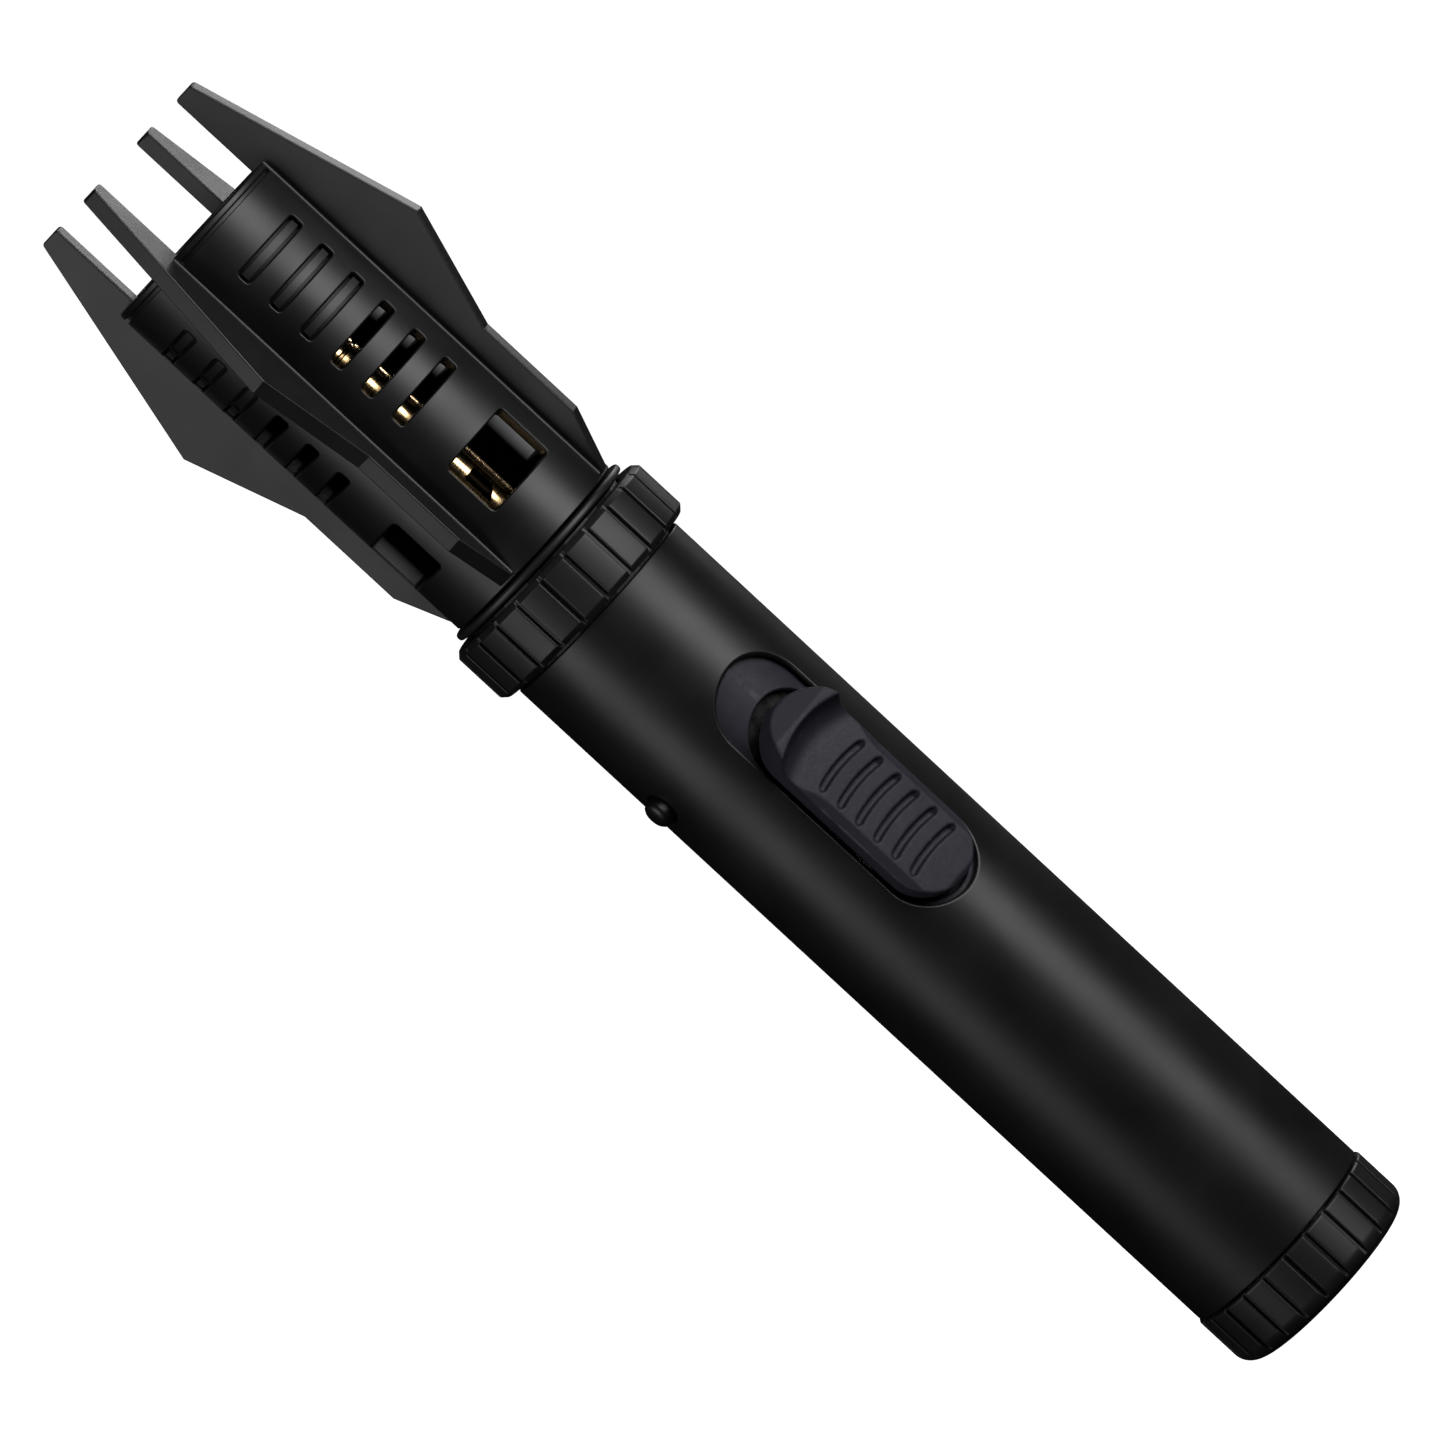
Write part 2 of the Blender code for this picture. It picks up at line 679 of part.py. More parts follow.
def add_turned_on_x(bm, profile, steps=24):
    """Turn an (x, radius) profile round the lock stud's line."""
    rings = []
    for x, radius in profile:
        count = steps if radius > 0.0 else 1
        ring = []
        for k in range(count):
            turn = 2.0 * math.pi * k / steps
            ring.append((x, radius * math.cos(turn), LOCK_Z + radius * math.sin(turn)))
        rings.append(ring)
    add_skin(bm, rings)


def make_lock_button():
    """Stud with a rounded head, a flange behind the tube wall and a locking pin."""
    bm = bmesh.new()
    top = -(TUBE_R + LOCK_OUT)
    profile = (
        (top, 0.0),
        (top, LOCK_HEAD_R - 0.4),
        (top + 0.4, LOCK_HEAD_R),
        (-12.8, LOCK_HEAD_R),
        (-12.8, LOCK_FLANGE_R),
        (-12.0, LOCK_FLANGE_R),
        (-12.0, LOCK_PIN_R),
        (-7.4, LOCK_PIN_R),
        (-7.4, 0.0),
    )
    add_turned_on_x(bm, profile)
    make_piece("lock_button", bm, "black_paint", (-TUBE_R, 0.0, LOCK_Z))


def make_lock_spring():
    """Small coil round the stud's pin, between its flange and the chassis plate."""
    bm = bmesh.new()
    path = [(x, y, z) for z, y, x in helix((LOCK_Z, 0.0), 1.4, -11.5, -9.4, 3)]
    add_sweep(bm, path, 0.18, 4)
    make_piece("lock_spring", bm, "spring_steel")


# ----------------------------------------------------------------- inner frame

def add_frame_ribs(bm, side):
    """Screw bosses and lever ears of one chassis half; side is 1 for +X, -1 for -X."""
    def at(low, high):
        edges = sorted((side * low[0], side * high[0]))
        add_box(bm, (edges[0], low[1], low[2]), (edges[1], high[1], high[2]))

    for height in SCREW_HEIGHTS:
        at((0.25, 7.2, height - 2.0), (4.4, 11.7, height + 2.0))
    at((4.1, 5.0, LEVER_Z - 2.2), (5.3, 11.0, LEVER_Z + 2.2))


def make_chassis_half(name, side):
    """Half shell of the inner frame with its ribs and holes."""
    bm = bmesh.new()
    angles = sorted((side * CHASSIS_START_ANGLE, side * CHASSIS_END_ANGLE))
    add_sector(bm, (BED_INNER_R, BED_R), angles, (CHASSIS_BOTTOM, CHASSIS_TOP))
    half = make_piece(name, bm, "frame_plastic")

    ribs = bmesh.new()
    add_frame_ribs(ribs, side)
    if side > 0:
        shelf = SPRING_SHELF_Z
        add_box(ribs, (4.3, -8.2, shelf), (9.6, -4.2, shelf + 1.4))
    else:
        add_box(ribs, (-12.2, -3.6, LOCK_Z - 4.4), (-8.0, 3.6, LOCK_Z - 3.4))
        add_box(ribs, (-12.2, -3.6, LOCK_Z + 3.4), (-8.0, 3.6, LOCK_Z + 4.4))
    shape_with(half, make_guide(name + "_ribs", ribs), "UNION")
    if side < 0:
        seat = bmesh.new()
        add_box(seat, (-9.1, -3.6, LOCK_Z - 4.0), (-8.0, 3.6, LOCK_Z + 4.0))
        shape_with(half, make_guide(name + "_seat", seat), "UNION")

    holes = bmesh.new()
    for height in SCREW_HEIGHTS:
        add_rod(holes, (0.0, SCREW_Y, height), (side * 6.0, SCREW_Y, height), SCREW_R + 0.3, 12)
    add_rod(holes, (side * 3.5, LEVER_PIVOT_Y, LEVER_Z), (side * 5.8, LEVER_PIVOT_Y, LEVER_Z), 1.0, 12)
    if side < 0:
        add_rod(holes, (-14.0, 0.0, LOCK_Z), (-9.9, 0.0, LOCK_Z), LOCK_FLANGE_R + 0.35, 20)
        add_rod(holes, (-9.6, 0.0, LOCK_Z), (-7.0, 0.0, LOCK_Z), LOCK_PIN_R + 0.35, 12)
    shape_with(half, make_guide(name + "_holes", holes), "DIFFERENCE")


def make_chassis_screws():
    """Two pan-head screws that clamp the chassis halves."""
    for index, height in enumerate(SCREW_HEIGHTS, 1):
        bm = bmesh.new()
        profile = ((-4.2, 0.0), (-4.2, SCREW_R), (4.7, SCREW_R), (4.7, 1.5), (5.5, 1.3), (5.5, 0.0))
        rings = []
        for x, radius in profile:
            count = 12 if radius > 0.0 else 1
            turns = [2.0 * math.pi * k / 12 for k in range(count)]
            rings.append([
                (x, SCREW_Y + radius * math.cos(t), height + radius * math.sin(t)) for t in turns
            ])
        add_skin(bm, rings)
        make_piece(f"chassis_screw_{index}", bm, "steel")


# ------------------------------------------------------------ valve and igniter

def make_lever():
    """Lever that the slide's lug swings up to lift the valve stem."""
    bm = bmesh.new()
    low = LEVER_Z - 0.5 * LEVER_THICKNESS
    high = LEVER_Z + 0.5 * LEVER_THICKNESS
    ring = (
        (-1.5, LEVER_TIP_Y),
        (1.5, LEVER_TIP_Y),
        (1.5, -0.5),
        (3.0, 1.0),
        (3.0, LEVER_PIVOT_Y + 0.2),
        (-3.0, LEVER_PIVOT_Y + 0.2),
        (-3.0, 1.0),
        (-1.5, -0.5),
    )
    add_skin(bm, [[(x, y, z) for x, y in ring] for z in (low, high)], capped=True)
    lever = make_piece("valve_lever", bm, "steel", (0.0, LEVER_PIVOT_Y, LEVER_Z))
    hub = bmesh.new()
    add_rod(hub, (-3.6, LEVER_PIVOT_Y, LEVER_Z), (3.6, LEVER_PIVOT_Y, LEVER_Z), 1.6, 20)
    shape_with(lever, make_guide("lever_hub", hub), "UNION")
    holes = bmesh.new()
    add_rod(holes, (-5.0, LEVER_PIVOT_Y, LEVER_Z), (5.0, LEVER_PIVOT_Y, LEVER_Z), 1.0, 16)
    add_disc(holes, 1.5, low - 1.0, high + 1.0, 16, (0.0, VALVE_Y))
    shape_with(lever, make_guide("lever_holes", holes), "DIFFERENCE")
    pin = bmesh.new()
    add_rod(pin, (-5.9, LEVER_PIVOT_Y, LEVER_Z), (5.9, LEVER_PIVOT_Y, LEVER_Z), 0.7, 12)
    make_piece("lever_pin", pin, "steel")


def make_gas_valve():
    """Outlet valve: body, sprung stem, seal and inlet filter, beside the axis."""
    at = (0.0, VALVE_Y)
    body = bmesh.new()
    profile = (
        (1.2, 55.2), (2.7, 55.2), (2.7, 63.8), (4.2, 63.8), (4.2, 65.6), (2.9, 65.6),
        (2.9, 69.6), (1.2, 69.6), (1.2, 68.4), (1.9, 68.4), (1.9, 56.6), (1.2, 56.6),
    )
    add_turned(body, profile, SMALL_STEPS, at)
    make_piece("valve_body", body, "brass")

    stem = bmesh.new()
    profile = (
        (0.0, 57.2), (1.6, 57.2), (1.6, 58.4), (0.9, 58.4), (0.9, 72.9), (1.5, 72.9),
        (1.5, 73.9), (0.65, 73.9), (0.65, 78.4), (0.0, 78.4),
    )
    add_turned(stem, profile, 16, at, closed=False)
    make_piece("valve_stem", stem, "brass", (0.0, VALVE_Y, LEVER_Z))

    spring = bmesh.new()
    add_sweep(spring, helix(at, 1.4, 58.95, 67.85, 6), 0.18, 4)
    make_piece("valve_spring", spring, "spring_steel")

    seal = bmesh.new()
    add_turned(seal, ((3.1, 62.9), (4.4, 62.9), (4.4, 63.5), (3.1, 63.5)), SMALL_STEPS, at)
    make_piece("valve_seal", seal, "rubber")

    felt = bmesh.new()
    add_disc(felt, 2.6, 52.7, 54.9, centre=at)
    make_piece("fuel_filter", felt, "felt")


def make_gas_hose():
    """Hose from the valve stem up to the regulator."""
    bm = bmesh.new()
    turn_low = 84.0
    turn_high = 106.0
    path = [(0.0, VALVE_Y, HOSE_BOTTOM), (0.0, VALVE_Y, 80.0)]
    for k in range(9):
        share = k / 8.0
        bend = 0.5 + 0.5 * math.cos(math.pi * share)
        path.append((0.0, VALVE_Y * bend, turn_low + (turn_high - turn_low) * share))
    path += [(0.0, 0.0, 110.0), (0.0, 0.0, HOSE_TOP)]
    add_sweep(bm, path, HOSE_R, 10, HOSE_BORE_R)
    make_piece("gas_hose", bm, "hose_rubber")


def make_piezo():
    """Piezo igniter: block with a pocket, and the plunger that the slide drives into it."""
    bm = bmesh.new()
    add_box(
        bm,
        (-PIEZO_HALF_X, PIEZO_Y - PIEZO_HALF_Y, PIEZO_BOTTOM),
        (PIEZO_HALF_X, PIEZO_Y + PIEZO_HALF_Y, PIEZO_TOP),
    )
    body = make_piece("piezo_body", bm, "piezo_plastic")
    pocket = bmesh.new()
    side_x = PLUNGER_HALF_X + GAP
    side_y = PLUNGER_HALF_Y + GAP
    add_box(
        pocket,
        (-side_x, PIEZO_Y - side_y, PIEZO_BOTTOM - 1.0),
        (side_x, PIEZO_Y + side_y, PIEZO_BOTTOM + 8.0),
    )
    shape_with(body, make_guide("piezo_pocket", pocket), "DIFFERENCE")

    plunger = bmesh.new()
    add_box(
        plunger,
        (-PLUNGER_HALF_X, PIEZO_Y - PLUNGER_HALF_Y, PLUNGER_BOTTOM),
        (PLUNGER_HALF_X, PIEZO_Y + PLUNGER_HALF_Y, PIEZO_BOTTOM + 1.6),
    )
    make_piece("piezo_plunger", plunger, "ceramic", (0.0, PIEZO_Y, PLUNGER_BOTTOM))


def electrode_at(height, radius=ELECTRODE_RADIUS):
    """Point on the electrode's side of the burner."""
    return around(radius, ELECTRODE_ANGLE, height)


def make_ignition():
    """Lead from the piezo, ceramic insulator and the electrode bent over the burner."""
    lead = bmesh.new()
    end = electrode_at(117.2)
    route = (
        (0.0, PIEZO_Y, 110.3),
        (1.6, PIEZO_Y + 0.4, 112.2),
        (5.2, -1.5, 113.4),
        (5.6, 3.6, 114.8),
        end,
    )
    add_sweep(lead, smooth_path(route), 0.6, 8)
    make_piece("ignition_lead", lead, "lead_sheath")

    insulator = bmesh.new()
    foot = electrode_at(118.0)
    add_turned(insulator, ((0.75, 118.0), (1.2, 118.0), (1.2, 172.0), (0.75, 172.0)), 14, foot[:2])
    make_piece("electrode_insulator", insulator, "ceramic")

    rod = bmesh.new()
    route = [electrode_at(117.6), electrode_at(181.0)]
    route += smooth_path((electrode_at(182.0), electrode_at(183.6, 7.4), electrode_at(184.4, 5.6)), 4)
    add_sweep(rod, route, 0.45, 8)
    make_piece("electrode_rod", rod, "steel")


# ------------------------------------------------------------- neck and burner

def make_neck_bush():
    """Turned bush that joins tube and guard and carries regulator and burner."""
    bm = bmesh.new()
    outer = TUBE_BORE_R - GAP
    spigot = GUARD_BORE_R - GAP
    profile = (
        (10.2, 112.5), (outer, 112.5), (outer, SEAT_BOTTOM - GAP), (spigot, SEAT_BOTTOM - GAP),
        (spigot, 139.0), (9.9, 139.0), (9.9, 136.0), (BURNER_R + GAP, 136.0),
        (BURNER_R + GAP, 134.0), (10.2, 134.0), (10.2, 121.0), (4.2, 121.0), (4.2, 119.0),
        (10.2, 119.0),
    )
    add_turned(bm, profile, 36)
    bush = make_piece("neck_bush", bm, "black_satin")
    holes = bmesh.new()
    swing = ADJUSTER_SWING + 7.0
    add_sector(holes, (9.0, 14.0), (-swing, swing), (ADJUSTER_PIN_Z - 1.3, ADJUSTER_PIN_Z + 1.3), 5.0)
    foot = electrode_at(0.0)[:2]
    add_disc(holes, 1.6, 118.0, 122.0, 14, foot)
    add_disc(holes, 1.6, 133.0, 137.0, 14, foot)
    for angle in (35.0, -35.0, -110.0):
        add_disc(holes, 1.8, 133.0, 137.0, 14, around(7.0, angle)[:2])
    shape_with(bush, make_guide("bush_holes", holes), "DIFFERENCE")


def make_adjuster():
    """Wheel round the regulator and the pin that links it to the neck collar."""
    bm = bmesh.new()
    add_turned(bm, ((4.2, 125.2), (6.0, 125.2), (6.0, 128.8), (4.2, 128.8)))
    wheel = make_piece("adjuster_wheel", bm, "brass")
    spoke = bmesh.new()
    add_box(spoke, (-1.7, -9.7, 125.5), (1.7, -5.0, 128.5))
    shape_with(wheel, make_guide("wheel_spoke", spoke), "UNION")
    socket = bmesh.new()
    add_rod(socket, (0.0, -8.2, ADJUSTER_PIN_Z), (0.0, -11.0, ADJUSTER_PIN_Z), 1.0, 12)
    shape_with(wheel, make_guide("wheel_socket", socket), "DIFFERENCE")
    pin = bmesh.new()
    add_rod(pin, (0.0, -8.5, ADJUSTER_PIN_Z), (0.0, -14.1, ADJUSTER_PIN_Z), 0.7, 12)
    make_piece("adjuster_pin", pin, "steel")


def make_regulator():
    """Regulator with its hose barb, and the jet screwed on top of it."""
    body = bmesh.new()
    profile = (
        (0.0, 110.9), (0.65, 110.9), (0.65, 113.6), (2.4, 113.6), (2.4, 116.6), (5.4, 116.6),
        (5.4, 118.6), (3.9, 118.6), (3.9, 129.6), (2.0, 129.6), (2.0, 133.2), (0.0, 133.2),
    )
    add_turned(body, profile, 24, closed=False)
    make_piece("regulator_body", body, "brass")
    jet = bmesh.new()
    profile = (
        (2.3, 130.3), (2.8, 130.3), (2.8, 137.5), (1.4, 139.6), (0.4, 139.6), (0.4, 136.0),
        (2.3, 136.0),
    )
    add_turned(jet, profile, 24)
    make_piece("jet_nozzle", jet, "brass")


def make_burner():
    """Brass mixing tube with air inlets, the burner head and its perforated disc."""
    bm = bmesh.new()
    ring_low = 166.2
    ring_high = 166.8
    profile = (
        (BURNER_BORE_R, BURNER_BOTTOM),
        (BURNER_R, BURNER_BOTTOM),
        (BURNER_R, ring_low),
        (BURNER_R - 0.25, ring_low + 0.1),
        (BURNER_R - 0.25, ring_high - 0.1),
        (BURNER_R, ring_high),
        (BURNER_R, BURNER_TOP),
        (BURNER_BORE_R, BURNER_TOP),
    )
    add_turned(bm, profile, 32)
    tube = make_piece("burner_tube", bm, "brass")
    inlets = bmesh.new()
    half = AIR_HOLE_HALF_WIDTH
    outline = (
        (-half, AIR_HOLE_BOTTOM),
        (half, AIR_HOLE_BOTTOM + 1.2),
        (half, AIR_HOLE_TOP),
        (-half, AIR_HOLE_TOP),
    )
    for angle in PANEL_ANGLES:
        fresh = len(inlets.verts)
        add_prism(inlets, outline, -1.5, -5.0, "Y")
        inlets.verts.ensure_lookup_table()
        turn_verts(inlets, inlets.verts[fresh:], angle)
    shape_with(tube, make_guide("air_inlets", inlets), "DIFFERENCE")

    head = bmesh.new()
    profile = (
        (BURNER_R + GAP, 170.3), (4.7, 170.3), (4.7, 174.0), (5.8, 176.0), (5.8, 183.0),
        (5.2, 183.0), (5.2, 179.2), (4.3, 179.2), (4.3, 176.2), (BURNER_R + GAP, 174.6),
    )
    add_turned(head, profile)
    make_piece("burner_head", head, "steel")

    disc = bmesh.new()
    add_disc(disc, 4.9, 179.5, 180.5, 24)
    plate = make_piece("flame_disc", disc, "steel")
    ports = bmesh.new()
    add_disc(ports, 0.6, 179.0, 181.0, 8)
    for k in range(6):
        add_disc(ports, 0.6, 179.0, 181.0, 8, around(2.7, 60.0 * k)[:2])
    shape_with(plate, make_guide("flame_ports", ports), "DIFFERENCE")


# --------------------------------------------------------- tank and fill valve

def make_tank():
    """Fuel tank, its lid with the O-ring, and the end plug with the cap's neck."""
    bm = bmesh.new()
    wall_bottom = TANK_BOTTOM + 1.5
    profile = (
        (FILL_HOLE_R, TANK_BOTTOM), (TANK_R, TANK_BOTTOM), (TANK_R, TANK_TOP),
        (TANK_BORE_R, TANK_TOP), (TANK_BORE_R, wall_bottom), (FILL_HOLE_R, wall_bottom),
    )
    add_turned(bm, profile)
    make_piece("fuel_tank", bm, "clear_nylon")

    lid = bmesh.new()
    spigot = TANK_BORE_R - GAP
    groove = spigot - 0.9
    flange = TANK_TOP + GAP
    profile = (
        (0.0, 55.5), (spigot, 55.5), (spigot, 57.2), (groove, 57.2), (groove, 58.8),
        (spigot, 58.8), (spigot, flange), (TANK_R, flange), (TANK_R, LID_TOP), (0.0, LID_TOP),
    )
    add_turned(lid, profile, closed=False)
    lid = make_piece("tank_lid", lid, "clear_nylon")
    bore = bmesh.new()
    add_disc(bore, 3.0, 54.0, 64.0, 24, (0.0, VALVE_Y))
    shape_with(lid, make_guide("lid_bore", bore), "DIFFERENCE")

    ring = bmesh.new()
    add_turned(ring, arc_points((10.8, 58.0), 0.45, 0.0, 300.0, 5))
    make_piece("tank_o_ring", ring, "rubber")

    plug = bmesh.new()
    shoulder = TUBE_BOTTOM + 0.2
    profile = (
        (FILL_HOLE_R, 3.2), (10.9, 3.2), (10.9, shoulder), (TUBE_BORE_R - GAP, shoulder),
        (TUBE_BORE_R - GAP, TANK_BOTTOM - GAP), (FILL_HOLE_R, TANK_BOTTOM - GAP),
    )
    add_turned(plug, profile)
    make_piece("end_plug", plug, "steel")

    washer = bmesh.new()
    add_turned(washer, ((5.4, 2.1), (10.6, 2.1), (10.6, 2.9), (5.4, 2.9)))
    make_piece("cap_seal", washer, "rubber")


def make_fill_valve():
    """Fill valve in the middle of the end plug, with its sprung stem."""
    body = bmesh.new()
    profile = (
        (1.7, 3.6), (FILL_BODY_R, 3.6), (FILL_BODY_R, 16.4), (1.3, 16.4), (1.3, 15.4),
        (2.4, 15.4), (2.4, 6.4), (1.7, 6.4),
    )
    add_turned(body, profile, SMALL_STEPS)
    make_piece("fill_valve_body", body, "brass")

    stem = bmesh.new()
    profile = (
        (0.0, 4.0), (1.3, 4.0), (1.3, 6.8), (2.0, 6.8), (2.0, 7.8), (0.9, 7.8), (0.9, 17.4),
        (0.0, 17.4),
    )
    add_turned(stem, profile, 16, closed=False)
    make_piece("fill_valve_stem", stem, "brass", (0.0, 0.0, 4.0))

    spring = bmesh.new()
    add_sweep(spring, helix((0.0, 0.0), 1.55, 8.35, 14.85, 5), 0.22, 4)
    make_piece("fill_valve_spring", spring, "spring_steel")

    seal = bmesh.new()
    seal_bore = FILL_BODY_R + 0.15
    profile = ((seal_bore, 14.2), (5.7, 14.2), (5.7, 15.2), (seal_bore, 15.2))
    add_turned(seal, profile, SMALL_STEPS)
    make_piece("fill_valve_seal", seal, "rubber")


def main():
    for obj in list(bpy.data.objects):
        bpy.data.objects.remove(obj, do_unlink=True)
    make_base_cap()
    make_neck_collar()
    make_body_tube()
    make_seat_ring()
    make_flame_guard()
    make_slide_bed()
    make_slide_trigger()
    make_trigger_carriage()
    make_trigger_spring()
    make_lock_button()
    make_lock_spring()
    make_chassis_half("chassis_right", 1)
    make_chassis_half("chassis_left", -1)
    make_chassis_screws()
    make_lever()
    make_gas_valve()
    make_gas_hose()
    make_piezo()
    make_ignition()
    make_neck_bush()
    make_adjuster()
    make_regulator()
    make_burner()
    make_tank()
    make_fill_valve()


main()
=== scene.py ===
import math

import bmesh
import bpy
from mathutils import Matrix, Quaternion, Vector


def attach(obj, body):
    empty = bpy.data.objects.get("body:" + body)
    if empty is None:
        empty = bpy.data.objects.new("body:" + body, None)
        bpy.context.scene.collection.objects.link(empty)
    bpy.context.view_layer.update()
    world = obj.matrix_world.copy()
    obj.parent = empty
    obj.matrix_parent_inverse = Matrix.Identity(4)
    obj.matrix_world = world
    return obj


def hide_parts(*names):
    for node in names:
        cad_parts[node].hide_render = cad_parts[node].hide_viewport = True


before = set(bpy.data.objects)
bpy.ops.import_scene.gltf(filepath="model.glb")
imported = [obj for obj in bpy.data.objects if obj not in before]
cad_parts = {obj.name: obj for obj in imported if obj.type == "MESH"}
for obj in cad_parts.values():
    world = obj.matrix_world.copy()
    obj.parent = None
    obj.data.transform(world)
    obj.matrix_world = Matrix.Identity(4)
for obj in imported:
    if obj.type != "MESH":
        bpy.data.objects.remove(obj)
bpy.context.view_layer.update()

# The lighter stands on its base cap: +Z is its axis, -Y its thumb side. Lengths are in
# millimetres and are turned into metres as each mesh is made. Angles round the axis are
# counted from -Y towards +X, in degrees.
MM = 0.001

# Radii and heights of the round outer pieces.
TUBE_R = 14.0
TUBE_BORE_R = 13.1
TUBE_BOTTOM = 8.7
TUBE_TOP = 122.7
CAP_R = 14.3
CAP_TOP = 8.4
CAP_EDGE_R = 2.4
CAP_LIP_R = 0.35
CAP_BORE_R = 11.3
CAP_BORE_FLOOR = 1.8
COLLAR_R = 16.2
COLLAR_BORE_R = 13.2
COLLAR_BOTTOM = 123.2
COLLAR_TOP = 131.4
COLLAR_CHAMFER = 0.7
COLLAR_TILES_R = 14.5
COLLAR_PIN_Z = 127.0
COLLAR_PIN_R = 1.0
SEAT_R = 14.4
SEAT_BOTTOM = 132.0
SEAT_TOP = 133.0
GUARD_R = 13.5
GUARD_BORE_R = 11.35
GUARD_BOTTOM = 133.3
GUARD_RIM = 189.6
RIM_BEAD = 0.95
RIM_GROOVE = 0.5

# Tiles round the neck collar and the base cap.
TILE_COUNT = 24
TILE_PITCH = 360.0 / TILE_COUNT
GROOVE_WIDTH = 0.64
GROOVE_DEPTH = 0.55
TILE_EDGE = 0.16
COLLAR_GROOVE_ANGLE = -1.7
CAP_GROOVE_ANGLE = 1.5

# Fins and openings of the guard.
FIN_ANGLES = (45.0, 135.0, 225.0, 315.0)
PANEL_ANGLES = (0.0, 90.0, 180.0, 270.0)
FIN_THICKNESS = 2.2
FIN_ROOT_R = 12.4
FIN_OUTLINE = ((13.95, 133.7), (17.1, 141.4), (17.1, 156.2), (22.4, 171.8))
FIN_TIP = (14.2, 202.3)
FIN_EDGE_R = 0.2
FIN_FILLET_R = 0.45
PRONG_BORE_R = 11.45
OPENING_HALF_WIDTH = 5.6
OPENING_RIM = 0.3
OPEN_SLOTS = (0, 1, 2)
BLIND_SLOTS = (3, 4, 5)
SLOT_HEIGHT = 2.45
SLOT_CORNER = 0.45
SLOT_PITCH = 5.06
FIRST_SLOT = 156.45
WINDOW_BOTTOM = 140.15
WINDOW_TOP = 148.55
WINDOW_CORNER = 0.6
BLIND_SPAN = (150.0, 190.0)
BLIND_FLOOR_R = 12.4
PAD_R = 13.12
PAD_MARGIN = 0.42
PAD_BLOCK = (-10.9, -14.0)

# Radii inside the tube's and the guard's walls to which their cutters reach.
CUT_TO_R = 8.0
RECESS_CUT_TO_R = 9.0

# Thumb slide, its slot and its bed. A stadium is (half width, bottom, top), and side views
# are in (y, z).
THUMB_SLOT = (6.4, 67.3, 106.6)
BED_HOLE = (5.8, 67.9, 101.1)
SLIDE_PLAN = (5.9, 68.4, 99.6)
SLIDE_NECK = (5.4, 68.5, 95.6)
GRIP_HEIGHT = 15.2
CREST_HEIGHT = 17.8
CREST_Z = 96.3
SHOULDER_X = 4.8
SHOULDER_HEIGHT = 14.4
SHOULDER_TOP = 87.0
SLIDE_FOOT = ((-9.0, 68.4), (-14.5, 68.4), (-14.9, 68.6), (-GRIP_HEIGHT, 69.1))
SLIDE_BACK = ((-16.2, 99.4), (-15.9, 99.6), (-9.0, 99.6))
SLIDE_VOXEL = 0.13
SADDLE_START = 88.4
SADDLE_LINE = (
    (-GRIP_HEIGHT + 0.01, 89.6), (-15.0, 91.2), (-14.7, 92.6), (-14.85, 93.9), (-15.7, 95.1),
    (-17.2, 95.9), (-19.5, 96.5),
)
SADDLE_HALF_WIDTH = 6.6
SADDLE_BOW = 1.3
GRIP_GROOVES = 6
GRIP_GROOVE_FIRST = 74.0
GRIP_GROOVE_PITCH = 3.0
GRIP_GROOVE_HALF_WIDTH = 4.4
GRIP_GROOVE_HALF_HEIGHT = 0.52
GRIP_GROOVE_DEPTH = 0.85
GRIP_GROOVE_BOW = 0.5
BED_R = 12.8
BED_BORE_R = 11.9
BED_HALF_ANGLE = 37
BED_BOTTOM = 64.0
BED_TOP = 111.5

# Lock stud: its height, its hole, and its outline in (x, radius).
LOCK_Z = 100.4
LOCK_HOLE_R = 2.3
STUD_HEAD = (
    (-15.6, 0.0), (-15.58, 0.6), (-15.5, 1.1), (-15.35, 1.5), (-15.1, 1.8), (-14.8, 1.93),
    (-14.6, 1.95), (-12.9, 1.95),
)
STUD_FOOT = (
    (-12.8, 2.0), (-12.8, 2.5), (-12.75, 2.55), (-12.05, 2.55), (-12.0, 2.5), (-12.0, 0.9),
    (-7.5, 0.9), (-7.4, 0.8), (-7.4, 0.0),
)
STUD_STEPS = 64

# Burner and spark wire. The first four outlines are in (radius, height), the inlet in (x, z).
MIXING_TUBE = (
    (3.1, 133.8), (3.65, 133.8), (3.65, 166.2), (3.4, 166.3), (3.4, 166.7), (3.65, 166.8),
    (3.65, 174.0), (3.1, 174.0),
)
BURNER_CROWN = (
    (3.95, 170.3), (4.7, 170.3), (4.7, 174.0), (5.8, 176.0), (5.8, 183.0), (5.2, 183.0),
    (5.2, 179.2), (4.3, 179.2), (4.3, 176.2), (3.95, 174.6),
)
PORT_DISC = ((0.0, 179.5), (4.8, 179.5), (4.9, 179.6), (4.9, 180.4), (4.8, 180.5), (0.0, 180.5))
PORT = ((0.0, 179.0), (0.6, 179.0), (0.6, 180.4), (0.8, 180.7), (0.0, 180.7))
PORT_RING_R = 2.7
PORT_STEPS = 28
INLET = ((-0.95, 141.1), (0.95, 142.3), (0.95, 145.5), (-0.95, 145.5))
INSULATOR = ((0.75, 118.0), (1.2, 118.0), (1.2, 172.0), (0.75, 172.0))
SPARK_R = 8.0
SPARK_ANGLE = 157.0
SPARK_WIRE_R = 0.45

# Sides of a full turn.
OUTER_STEPS = 240
INNER_STEPS = 96


# ---------------------------------------------------------------- mesh helpers

def around(radius, angle, height=0.0):
    """Point at an angle in degrees from -Y towards +X."""
    turn = math.radians(angle)
    return (radius * math.sin(turn), -radius * math.cos(turn), height)


